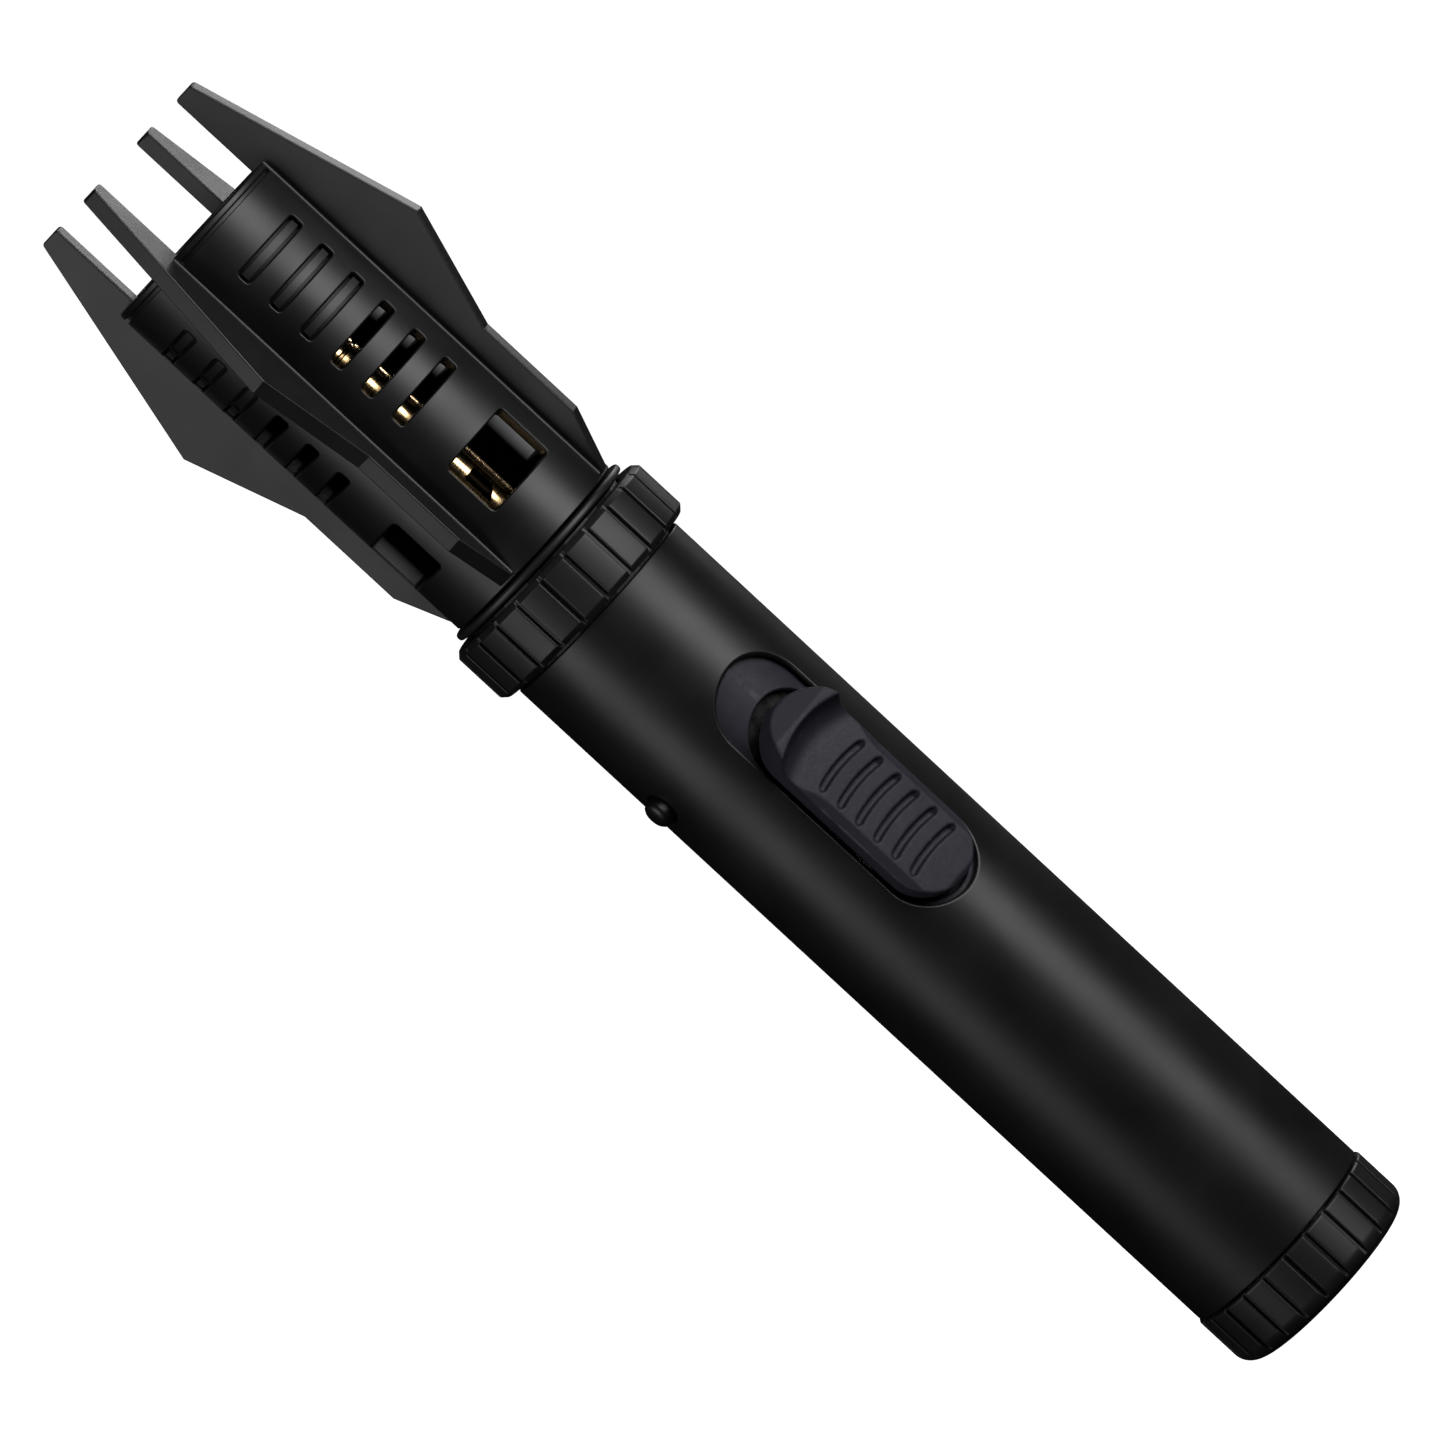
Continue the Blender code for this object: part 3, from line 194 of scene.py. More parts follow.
def add_skin(bm, rings, closed=False, capped=False):
    """Face the gaps between rings of points; a ring of one point is a pole."""
    rings = [[bm.verts.new(point) for point in ring] for ring in rings]
    following = rings[1:] + rings[:1] if closed else rings[1:]
    for ring, after in zip(rings, following):
        for k in range(max(len(ring), len(after))):
            corners = (
                ring[k % len(ring)],
                ring[(k + 1) % len(ring)],
                after[(k + 1) % len(after)],
                after[k % len(after)],
            )
            bm.faces.new(tuple(dict.fromkeys(corners)))
    if capped:
        bm.faces.new(rings[0])
        bm.faces.new(rings[-1])


def add_turned(bm, profile, steps=INNER_STEPS, centre=(0.0, 0.0), closed=True):
    """Turn a (radius, height) profile round an upright line."""
    rings = []
    for radius, height in profile:
        ring = []
        for k in range(steps if radius > 0.0 else 1):
            x, y, z = around(radius, 360.0 * k / steps, height)
            ring.append((centre[0] + x, centre[1] + y, z))
        rings.append(ring)
    add_skin(bm, rings, closed=closed)


def add_core(bm, radius, bottom, top):
    """Solid cylinder about the axis."""
    profile = ((0.0, bottom), (radius, bottom), (radius, top), (0.0, top))
    add_turned(bm, profile, OUTER_STEPS, closed=False)


def add_prism(bm, outline, start, end, along):
    """Extrude an outline along X from (y, z) points, or along Y from (x, z) points."""
    rings = []
    for place in (start, end):
        if along == "X":
            rings.append([(place, a, b) for a, b in outline])
        else:
            rings.append([(a, place, b) for a, b in outline])
    add_skin(bm, rings, capped=True)


def add_sweep(bm, path, radius, sides):
    """Round section carried along a path."""
    path = [Vector(point) for point in path]
    rings = []
    side = None
    for k, point in enumerate(path):
        ahead = path[min(k + 1, len(path) - 1)] - path[max(k - 1, 0)]
        ahead.normalize()
        if side is None:
            side = ahead.orthogonal()
        side = (side - ahead * side.dot(ahead)).normalized()
        other = ahead.cross(side)
        turns = [2.0 * math.pi * n / sides for n in range(sides)]
        rings.append([point + (side * math.cos(t) + other * math.sin(t)) * radius for t in turns])
    add_skin(bm, rings, capped=True)


def arc_points(centre, radius, start, end, steps):
    """Points on an arc of a plane, angles in degrees, ends included."""
    points = []
    for k in range(steps + 1):
        turn = math.radians(start + (end - start) * k / steps)
        points.append((centre[0] + radius * math.cos(turn), centre[1] + radius * math.sin(turn)))
    return points


def rounded(profile, radius, steps=4):
    """Closed outline with each corner rounded; radius is one number or a list, one per corner."""
    count = len(profile)
    result = []
    for k, point in enumerate(profile):
        reach = radius[k] if isinstance(radius, list) else radius
        here = Vector(point)
        back = Vector(profile[k - 1]) - here
        ahead = Vector(profile[(k + 1) % count]) - here
        half_angle = 0.5 * back.angle(ahead)
        trim = reach / math.tan(half_angle)
        trim = min(trim, 0.49 * back.length, 0.49 * ahead.length)
        if reach <= 0.0 or half_angle > 0.49 * math.pi:
            result.append(tuple(here))
            continue
        start = here + back.normalized() * trim
        end = here + ahead.normalized() * trim
        for n in range(steps + 1):
            t = n / steps
            bend = start * (1.0 - t) ** 2 + here * 2.0 * t * (1.0 - t) + end * t**2
            result.append(tuple(bend))
    return result


def smooth_path(points, spans=8):
    """Catmull-Rom curve through points."""
    points = [Vector(point) for point in points]
    ends = [points[0] * 2.0 - points[1]] + points + [points[-1] * 2.0 - points[-2]]
    curve = [points[0]]
    for k in range(1, len(ends) - 2):
        before, start, end, after = ends[k - 1:k + 3]
        for n in range(1, spans + 1):
            t = n / spans
            bend = before * (-t + 2.0 * t**2 - t**3)
            bend += start * (2.0 - 5.0 * t**2 + 3.0 * t**3)
            bend += end * (t + 4.0 * t**2 - 3.0 * t**3)
            bend += after * (-(t**2) + t**3)
            curve.append(bend * 0.5)
    return curve


def stadium(half_width, bottom, top, grow=0.0):
    """Outline with straight sides and half-round ends, in (x, z), grown all round."""
    reach = half_width + grow
    upper = arc_points((0.0, top - half_width), reach, 0.0, 180.0, 24)
    return upper + arc_points((0.0, bottom + half_width), reach, 180.0, 360.0, 24)


def box_outline(half_width, bottom, top, corner, grow):
    """Rectangle with round corners, in (x, z), grown all round, with points along its width."""
    across = 16
    x = half_width - corner
    reach = corner + grow
    outline = []
    corners = ((x, top - corner), (-x, top - corner), (-x, bottom + corner), (x, bottom + corner))
    for k, centre in enumerate(corners):
        outline += arc_points(centre, reach, 90.0 * k, 90.0 * (k + 1), 5)
        if k in (0, 2):
            edge = outline[-1][1]
            outline += [(centre[0] * (1.0 - 2.0 * n / across), edge) for n in range(1, across)]
    return outline


def turn_verts(bm, first, angle):
    """Turn the points made since the first one round the Z axis."""
    bm.verts.ensure_lookup_table()
    turn = math.radians(angle)
    for vert in bm.verts[first:]:
        x, y, z = vert.co
        vert.co.x = x * math.cos(turn) - y * math.sin(turn)
        vert.co.y = x * math.sin(turn) + y * math.cos(turn)


def add_flared_cutter(bm, outline_at, angle, radius, bevel, inner):
    """Cutter through a round wall whose mouth flares, so that it leaves a rounded edge.

    outline_at(grow) gives the outline in (x, z); the mouth follows the wall's outer radius.
    """
    first = len(bm.verts)
    rings = [[(x, -inner, z) for x, z in outline_at(0.0)]]
    levels = []
    for turn in (0.0, 15.0, 30.0, 45.0, 60.0, 72.0):
        t = math.radians(turn)
        levels.append((bevel * (1.0 - math.cos(t)), bevel * (1.0 - math.sin(t))))
    grow, depth = levels[-1]
    grow += math.tan(math.radians(76.0)) * (depth + 0.06)
    levels += [(grow, -0.06), (grow + 0.1, -2.0)]
    for grow, depth in levels:
        reach = radius - depth
        rings.append([(x, -math.sqrt(max(reach**2 - x**2, 0.0)), z) for x, z in outline_at(grow)])
    add_skin(bm, rings, capped=True)
    turn_verts(bm, first, angle)


# -------------------------------------------------------------- object helpers

# How near the wall's radius a corner counts as on it, in metres, and the smallest area of a
# large flat face, in square metres.
WALL_TOLERANCE = 4e-6
FLAT_AREA = 2e-6


def make_object(name, bm):
    """Object from a mesh in millimetres."""
    bmesh.ops.recalc_face_normals(bm, faces=bm.faces)
    bmesh.ops.scale(bm, vec=(MM, MM, MM), verts=bm.verts)
    mesh = bpy.data.meshes.new(name)
    bm.to_mesh(mesh)
    bm.free()
    obj = bpy.data.objects.new(name, mesh)
    bpy.context.collection.objects.link(obj)
    return obj


def bake(obj):
    """Put the result of an object's modifiers into its mesh."""
    graph = bpy.context.evaluated_depsgraph_get()
    old = obj.data
    obj.data = bpy.data.meshes.new_from_object(obj.evaluated_get(graph))
    obj.modifiers.clear()
    bpy.data.meshes.remove(old)
    obj.data.name = obj.name


def shape_with(obj, bm, operation):
    """Cut, join or intersect a piece with a guide mesh."""
    guide = make_object(obj.name + "_guide", bm)
    modifier = obj.modifiers.new("shape", "BOOLEAN")
    modifier.operation = operation
    modifier.object = guide
    modifier.solver = "EXACT"
    bake(obj)
    bpy.data.objects.remove(guide)


def taken_back(obj):
    """Guide mesh in millimetres from an object, which is removed."""
    bm = bmesh.new()
    bm.from_mesh(obj.data)
    bmesh.ops.scale(bm, vec=(1.0 / MM,) * 3, verts=bm.verts)
    bpy.data.objects.remove(obj)
    return bm


def true_normals(obj, radius):
    """Shade the round wall of a cut tube as a true cylinder and its large flats as flat."""
    mesh = obj.data
    normals = [Vector(corner.vector) for corner in mesh.corner_normals]
    for face in mesh.polygons:
        for index in face.loop_indices:
            place = mesh.vertices[mesh.loops[index].vertex_index].co
            outward = Vector((place.x, place.y, 0.0))
            on_wall = abs(outward.length - radius * MM) < WALL_TOLERANCE
            outward.normalize()
            if on_wall and face.normal.dot(outward) > 0.999:
                normals[index] = outward
            elif face.area > FLAT_AREA and not on_wall:
                normals[index] = face.normal.copy()
    mesh.normals_split_custom_set(normals)


def finish_piece(obj, material, body, nodes, sharp=38.0, weighted=True, wall=None):
    """Shade a piece, give it its material and put it in the place of its CAD nodes.

    A piece with a wall radius gets true_normals() instead of weighted ones.
    """
    mesh = obj.data
    mesh.materials.clear()
    mesh.materials.append(material)
    mesh.shade_smooth()
    mesh.set_sharp_from_angle(angle=math.radians(sharp))
    if wall:
        true_normals(obj, wall)
    elif weighted:
        modifier = obj.modifiers.new("normals", "WEIGHTED_NORMAL")
        modifier.keep_sharp = True
        modifier.weight = 80
    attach(obj, body)
    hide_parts(*nodes)
    return obj


# ------------------------------------------------------------------- materials

# Radii, and the heights under the guard's rim, between which the painted shade inside bores and
# recesses fades away, in metres.
INSIDE_R = (0.01145, 0.0131)
BRASS_BORE_R = (0.0033, 0.0036)
PAINTED_SHADE_TOP = ((GUARD_RIM - 0.9) * MM, (GUARD_RIM - 0.3) * MM)
# Painted shade: near-black colours put on the shaded insides of bores and recesses, and inside the
# brass mixing tube.
PAINTED_SHADE = (0.0012, 0.0012, 0.0012)
BRASS_PAINTED_SHADE = (0.004, 0.003, 0.002)
RUBBED_BLACK = (0.024, 0.024, 0.025)
COAT_SPECULAR = 0.5


class Shader:
    """Small builder for one procedural material."""

    def __init__(self, name, roughness, metallic=0.0, specular=0.5):
        self.material = bpy.data.materials.new(name)
        self.material.use_nodes = True
        self.nodes = self.material.node_tree.nodes
        self.links = self.material.node_tree.links
        self.bsdf = self.nodes["Principled BSDF"]
        self.bsdf.inputs["Metallic"].default_value = metallic
        self.bsdf.inputs["Roughness"].default_value = roughness
        self.bsdf.inputs["Specular IOR Level"].default_value = specular
        self.place = self.nodes.new("ShaderNodeTexCoord").outputs["Object"]
        self.normal = None

    def node(self, kind, **values):
        made = self.nodes.new(kind)
        for key, value in values.items():
            setattr(made, key, value)
        return made

    def stretched(self, scale):
        """Coordinates scaled apart on each axis."""
        mapping = self.node("ShaderNodeMapping")
        mapping.inputs["Scale"].default_value = scale
        self.links.new(self.place, mapping.inputs["Vector"])
        return mapping.outputs["Vector"]

    def noise(self, scale, detail=3.0, roughness=0.5, vector=None):
        made = self.node("ShaderNodeTexNoise")
        made.inputs["Scale"].default_value = scale
        made.inputs["Detail"].default_value = detail
        made.inputs["Roughness"].default_value = roughness
        self.links.new(vector or self.place, made.inputs["Vector"])
        return made.outputs["Fac"]

    def spread(self, value, low, high, start=0.3, end=0.7):
        """Value from start..end taken to low..high."""
        made = self.node("ShaderNodeMapRange")
        made.inputs["From Min"].default_value = start
        made.inputs["From Max"].default_value = end
        made.inputs["To Min"].default_value = low
        made.inputs["To Max"].default_value = high
        self.links.new(value, made.inputs["Value"])
        return made.outputs["Result"]

    def blend(self, share, first, second):
        """Colour between two colours, or between a colour and another node's colour."""
        made = self.node("ShaderNodeMix", data_type="RGBA")
        self.links.new(share, made.inputs["Factor"])
        sockets = [socket for socket in made.inputs if socket.type == "RGBA"]
        for socket, colour in zip(sockets, (first, second)):
            if isinstance(colour, tuple):
                socket.default_value = (*colour, 1.0)
            else:
                self.links.new(colour, socket)
        return [socket for socket in made.outputs if socket.type == "RGBA"][0]

    def edges(self, low, high):
        """Share of wear, from how sharply the surface stands out."""
        geometry = self.node("ShaderNodeNewGeometry")
        return self.spread(geometry.outputs["Pointiness"], 0.0, 1.0, low, high)

    def radius(self):
        """Distance from the lighter's axis, in metres."""
        flat = self.node("ShaderNodeVectorMath", operation="MULTIPLY")
        flat.inputs[1].default_value = (1.0, 1.0, 0.0)
        self.links.new(self.place, flat.inputs[0])
        length = self.node("ShaderNodeVectorMath", operation="LENGTH")
        self.links.new(flat.outputs["Vector"], length.inputs[0])
        return length.outputs["Value"]

    def inside(self, span):
        """Share of painted shade: one within the first radius, none outside the second or at the
        prongs.
        """
        apart = self.node("ShaderNodeSeparateXYZ")
        self.links.new(self.place, apart.inputs[0])
        below = self.spread(apart.outputs["Z"], 1.0, 0.0, *PAINTED_SHADE_TOP)
        return self.times(self.spread(self.radius(), 1.0, 0.0, *span), below)

    def bevelled(self, reach):
        """Share of wear, from how far a rounded normal leaves the surface's own."""
        soft = self.node("ShaderNodeBevel", samples=8)
        soft.inputs["Radius"].default_value = reach
        geometry = self.node("ShaderNodeNewGeometry")
        across = self.node("ShaderNodeVectorMath", operation="DOT_PRODUCT")
        self.links.new(soft.outputs["Normal"], across.inputs[0])
        self.links.new(geometry.outputs["Normal"], across.inputs[1])
        return self.spread(across.outputs["Value"], 1.0, 0.0, 0.6, 0.97)

    def times(self, first, second):
        made = self.node("ShaderNodeMath", operation="MULTIPLY")
        self.links.new(first, made.inputs[0])
        self.links.new(second, made.inputs[1])
        return made.outputs[0]

    def bump(self, height, strength, distance):
        made = self.node("ShaderNodeBump")
        made.inputs["Strength"].default_value = strength
        made.inputs["Distance"].default_value = distance
        self.links.new(height, made.inputs["Height"])
        if self.normal:
            self.links.new(self.normal, made.inputs["Normal"])
        self.normal = made.outputs["Normal"]

    def done(self, colour=None, roughness=None):
        if colour is not None:
            self.links.new(colour, self.bsdf.inputs["Base Color"])
        if roughness is not None:
            self.links.new(roughness, self.bsdf.inputs["Roughness"])
        if self.normal:
            self.links.new(self.normal, self.bsdf.inputs["Normal"])
        return self.material


def coated_black(name, dark, light, rough, peel=0.05):
    """Satin black coating over metal: faint orange peel, uneven sheen, rubbed edges, and painted
    shade with no sheen inside bores and recesses.
    """
    s = Shader(name, rough, 0.0, COAT_SPECULAR)
    cloud = s.noise(85.0, 4.0)
    grain = s.noise(2400.0, 2.0)
    base = s.blend(s.spread(cloud, 0.0, 1.0), dark, light)
    patches = s.spread(s.noise(420.0, 5.0), 0.15, 1.0, 0.42, 0.6)
    rubbed = s.times(s.bevelled(0.00025), patches)
    # Painted shade: within INSIDE_R the bores and recess walls are coloured near black and lose their
    # sheen.
    painted_shade_share = s.inside(INSIDE_R)
    colour = s.blend(painted_shade_share, s.blend(rubbed, base, RUBBED_BLACK), PAINTED_SHADE)
    s.bump(grain, peel, 0.00003)
    s.bump(s.noise(260.0, 2.0), 0.05, 0.0002)
    shine = s.spread(painted_shade_share, COAT_SPECULAR, 0.0, 0.0, 1.0)
    s.links.new(shine, s.bsdf.inputs["Specular IOR Level"])
    return s.done(colour, s.spread(cloud, rough - 0.04, rough + 0.04))


def moulded(name, dark, light, rough, grain=0.25, scale=2600.0, specular=0.45):
    """Moulded plastic with a fine spark-eroded texture."""
    s = Shader(name, rough, 0.0, specular)
    cloud = s.noise(150.0, 3.0)
    texture = s.noise(scale, 3.0, 0.6)
    base = s.blend(s.spread(cloud, 0.0, 1.0), dark, light)
    lighter = tuple(min(1.0, 1.7 * c + 0.02) for c in light)
    worn = s.times(s.edges(0.53, 0.62), s.spread(s.noise(600.0, 4.0), 0.0, 0.8, 0.4, 0.65))
    s.bump(texture, grain, 0.00004)
    return s.done(s.blend(worn, base, lighter), s.spread(texture, rough - 0.06, rough + 0.06))


def turned_metal(name, dark, light, rough, lines=0.12, stain=None, bore=None):
    """Turned or drawn metal: fine tool lines round the part, stains, bright edges, painted shade in
    the bore.
    """
    s = Shader(name, rough, 1.0)
    cloud = s.noise(240.0, 4.0)
    tool = s.noise(1.0, 3.0, 0.6, s.stretched((120.0, 120.0, 5200.0)))
    colour = s.blend(s.spread(cloud, 0.0, 1.0), dark, light)
    if stain:
        spots = s.spread(s.noise(900.0, 5.0, 0.7), 0.0, 0.6, 0.56, 0.75)
        colour = s.blend(spots, colour, stain)
    bright = tuple(min(1.0, 1.15 * c) for c in light)
    colour = s.blend(s.edges(0.53, 0.65), colour, bright)
    # Painted shade: the inside of the bore is coloured near black.
    if bore:
        colour = s.blend(s.inside(bore), colour, BRASS_PAINTED_SHADE)
    s.bump(tool, lines, 0.00003)
    return s.done(colour, s.spread(tool, rough - 0.05, rough + 0.05))


MATERIALS = {
    "black_paint": coated_black(
        "tube_paint", (0.0045, 0.0045, 0.0048), (0.0068, 0.0068, 0.0071), 0.42,
    ),
    "black_satin": coated_black(
        "tile_paint", (0.009, 0.009, 0.0093), (0.013, 0.013, 0.0133), 0.46, 0.12,
    ),
    "charcoal_plastic": moulded(
        "charcoal_moulding", (0.022, 0.0205, 0.0295), (0.029, 0.027, 0.0385), 0.55, specular=0.26,
    ),
    # Painted shade: the frame moulding is set almost black with almost no sheen, so the carriage seen
    # through the bed's hole looks shaded.
    "frame_plastic": moulded(
        "frame_moulding", (0.006, 0.006, 0.0065), (0.009, 0.009, 0.0095), 0.7, 0.2, specular=0.08,
    ),
    "clear_nylon": moulded("tank_nylon", (0.55, 0.57, 0.52), (0.68, 0.7, 0.66), 0.35, 0.08),
    "brass": turned_metal(
        "turned_brass", (0.8, 0.53, 0.24), (0.92, 0.66, 0.34), 0.17, 0.03, (0.6, 0.36, 0.15),
        BRASS_BORE_R,
    ),
    "steel": turned_metal("turned_steel", (0.42, 0.42, 0.43), (0.56, 0.56, 0.57), 0.3),
    "spring_steel": turned_metal("spring_wire", (0.34, 0.34, 0.36), (0.46, 0.46, 0.48), 0.28, 0.06),
    "rubber": moulded("seal_rubber", (0.015, 0.015, 0.015), (0.024, 0.024, 0.024), 0.75, 0.3, 1800.0),
    "felt": moulded("filter_felt", (0.6, 0.58, 0.5), (0.76, 0.73, 0.66), 0.95, 0.8, 900.0),
    "ceramic": moulded("white_ceramic", (0.78, 0.76, 0.7), (0.88, 0.86, 0.81), 0.32, 0.06),
    "piezo_plastic": moulded("igniter_case", (0.42, 0.05, 0.035), (0.52, 0.07, 0.045), 0.45, 0.12),
    "lead_sheath": moulded("lead_insulation", (0.3, 0.02, 0.02), (0.38, 0.03, 0.03), 0.5, 0.1),
    "hose_rubber": moulded("hose_tube", (0.66, 0.63, 0.55), (0.76, 0.73, 0.65), 0.5, 0.15),
}

FINISHES = {
    "charcoal_plastic": ("slide_bed", "slide_trigger"),
    "black_paint": ("body_tube", "flame_guard", "lock_button"),
    "black_satin": ("base_cap", "neck_bush", "neck_collar", "seat_ring"),
    "frame_plastic": ("chassis_left", "chassis_right", "trigger_carriage"),
    "clear_nylon": ("fuel_tank", "tank_lid"),
    "brass": (
        "adjuster_wheel", "burner_tube", "fill_valve_body", "fill_valve_stem", "jet_nozzle",
        "regulator_body", "valve_body", "valve_stem",
    ),
    "steel": (
        "adjuster_pin", "burner_head", "chassis_screw_1", "chassis_screw_2", "electrode_rod",
        "end_plug", "flame_disc", "lever_pin", "valve_lever",
    ),
    "spring_steel": ("fill_valve_spring", "lock_spring", "trigger_spring", "valve_spring"),
    "rubber": ("cap_seal", "fill_valve_seal", "tank_o_ring", "valve_seal"),
    "felt": ("fuel_filter",),
    "ceramic": ("electrode_insulator", "piezo_plunger"),
    "piezo_plastic": ("piezo_body",),
    "lead_sheath": ("ignition_lead",),
    "hose_rubber": ("gas_hose",),
}
for finish, names in FINISHES.items():
    for name in names:
        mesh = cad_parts[name].data
        mesh.materials.clear()
        mesh.materials.append(MATERIALS[finish])


# ---------------------------------------------------------------- outer pieces

def tile_pattern(radius):
    """Angles across one tile pitch, with the depth below the tile's face at each."""
    per_mm = math.degrees(1.0 / radius)
    half = 0.5 * GROOVE_WIDTH
    steps = [
        (-0.62 * half, GROOVE_DEPTH), (0.0, GROOVE_DEPTH), (0.62 * half, GROOVE_DEPTH),
        (0.84 * half, GROOVE_DEPTH - 0.07), (half, GROOVE_DEPTH - 0.2), (half + 0.01, TILE_EDGE),
        (half + 0.05, 0.5 * TILE_EDGE), (half + 0.13, 0.14 * TILE_EDGE), (half + 0.24, 0.0),
    ]
    pattern = [(offset * per_mm, depth) for offset, depth in steps]
    first = steps[-1][0] * per_mm
    last = TILE_PITCH - first
    for k in range(1, 8):
        pattern.append((first + (last - first) * k / 8.0, 0.0))
    for offset, depth in reversed(steps[3:]):
        pattern.append((TILE_PITCH - offset * per_mm, depth))
    return pattern


def tiled_rings(profile, radius, first_groove):
    """Rings of a tiled part from (radius, height, flat) rows; flat rows have no grooves."""
    pattern = tile_pattern(radius)
    rings = []
    for reach, height, flat in profile:
        ring = []
        for k in range(TILE_COUNT):
            for offset, depth in pattern:
                r = reach if flat else min(reach, radius - depth)
                ring.append(around(r, first_groove + k * TILE_PITCH + offset, height))
        rings.append(ring)
    return rings


def make_cap():
    """Screw cap with bevelled tiles, a rolled end edge and a ring turned in its end."""
    rows = [(CAP_BORE_R, CAP_BORE_FLOOR, True), (CAP_BORE_R, CAP_TOP - 0.25, True)]
    rows += [(CAP_BORE_R + 0.25, CAP_TOP, True), (CAP_R - CAP_LIP_R, CAP_TOP, False)]
    centre = (CAP_R - CAP_LIP_R, CAP_TOP - CAP_LIP_R)
    rows += [(r, z, False) for r, z in arc_points(centre, CAP_LIP_R, 75.0, 0.0, 5)]
    centre = (CAP_R - CAP_EDGE_R, CAP_EDGE_R)
    rows += [(r, z, False) for r, z in arc_points(centre, CAP_EDGE_R, 0.0, -90.0, 16)]
    rows += [(11.0, 0.0, True), (10.8, 0.05, True), (10.6, 0.3, True), (9.9, 0.3, True)]
    rows += [(9.7, 0.05, True), (9.5, 0.0, True)]
    bm = bmesh.new()
    add_skin(bm, tiled_rings(rows, CAP_R, CAP_GROOVE_ANGLE), capped=True)
    obj = make_object("cap_tiles", bm)
    finish_piece(obj, MATERIALS["black_satin"], "screw_cap", ["base_cap"])


def make_collar():
    """Flame ring with bevelled tiles and chamfered ends, and the hole for its pin."""
    ends = rounded(
        (
            (COLLAR_R - COLLAR_CHAMFER, COLLAR_BOTTOM),
            (COLLAR_R, COLLAR_BOTTOM + COLLAR_CHAMFER),
            (COLLAR_R, COLLAR_TOP - COLLAR_CHAMFER),
            (COLLAR_R - COLLAR_CHAMFER, COLLAR_TOP),
            (COLLAR_BORE_R, COLLAR_TOP),
            (COLLAR_BORE_R, COLLAR_BOTTOM),
        ),
        [0.22, 0.35, 0.35, 0.22, 0.2, 0.2],
    )
    rows = [(r, z, r < COLLAR_TILES_R) for r, z in ends]
    bm = bmesh.new()
    add_skin(bm, tiled_rings(rows, COLLAR_R, COLLAR_GROOVE_ANGLE), closed=True)
    obj = make_object("collar_tiles", bm)
    socket = bmesh.new()
    add_sweep(socket, [(0.0, y, COLLAR_PIN_Z) for y in (-12.0, -14.4)], COLLAR_PIN_R, 24)
    shape_with(obj, socket, "DIFFERENCE")
    finish_piece(obj, MATERIALS["black_satin"], "flame_adjuster", ["neck_collar"])


def make_tube():
    """Painted tube with rounded ends, the rolled rim of the thumb slot and the stud hole."""
    outline = (
        (TUBE_BORE_R, TUBE_BOTTOM),
        (TUBE_R, TUBE_BOTTOM),
        (TUBE_R, TUBE_TOP),
        (TUBE_BORE_R, TUBE_TOP),
    )
    bm = bmesh.new()
    add_turned(bm, rounded(outline, 0.22), OUTER_STEPS)
    obj = make_object("tube_shell", bm)


    def thumb_slot_at(grow):
        return stadium(*THUMB_SLOT, grow)

    def lock_hole_at(grow):
        return arc_points((0.0, LOCK_Z), LOCK_HOLE_R + grow, 0.0, 350.0, 35)

    for outline_at, angle, edge in ((thumb_slot_at, 0.0, 0.5), (lock_hole_at, 270.0, 0.2)):
        cutter = bmesh.new()
        add_flared_cutter(cutter, outline_at, angle, TUBE_R, edge, CUT_TO_R)
        shape_with(obj, cutter, "DIFFERENCE")
    finish_piece(
        obj, MATERIALS["black_paint"], "housing", ["body_tube"], wall=TUBE_R,
    )


def make_seat():
    """Bead ring with a crowned edge."""
    outline = (
        (GUARD_BORE_R, SEAT_BOTTOM),
        (SEAT_R, SEAT_BOTTOM),
        (SEAT_R, SEAT_TOP),
        (GUARD_BORE_R, SEAT_TOP),
    )
    bm = bmesh.new()
    add_turned(bm, rounded(outline, [0.1, 0.45, 0.45, 0.1], 6), OUTER_STEPS)
    obj = make_object("seat_bead", bm)
    finish_piece(obj, MATERIALS["black_satin"], "housing", ["seat_ring"])


def fin_plate(angle):
    """One fin with its prong, its edges rounded."""
    foot = GUARD_RIM - 1.0
    outline = [(FIN_ROOT_R, FIN_OUTLINE[0][1]), *FIN_OUTLINE, FIN_TIP]
    outline += [(PRONG_BORE_R, FIN_TIP[1]), (PRONG_BORE_R, foot), (FIN_ROOT_R, foot)]
    outline = rounded(outline, [0.0, 0.15, 0.3, 0.3, 0.3, 0.55, 0.55, 0.0, 0.0], 4)
    bm = bmesh.new()
    half = 0.5 * FIN_THICKNESS
    add_prism(bm, [(-r, z) for r, z in outline], -half, half, "X")
    bmesh.ops.recalc_face_normals(bm, faces=bm.faces)
    rims = [
        edge for edge in bm.edges
        if abs(abs(edge.verts[0].co.x) - half) < 1e-6
        and abs(edge.verts[0].co.x - edge.verts[1].co.x) < 1e-6
    ]
    bmesh.ops.bevel(bm, geom=rims, offset=FIN_EDGE_R, segments=3, profile=0.5, affect="EDGES")
    turn_verts(bm, 0, angle)
    return bm


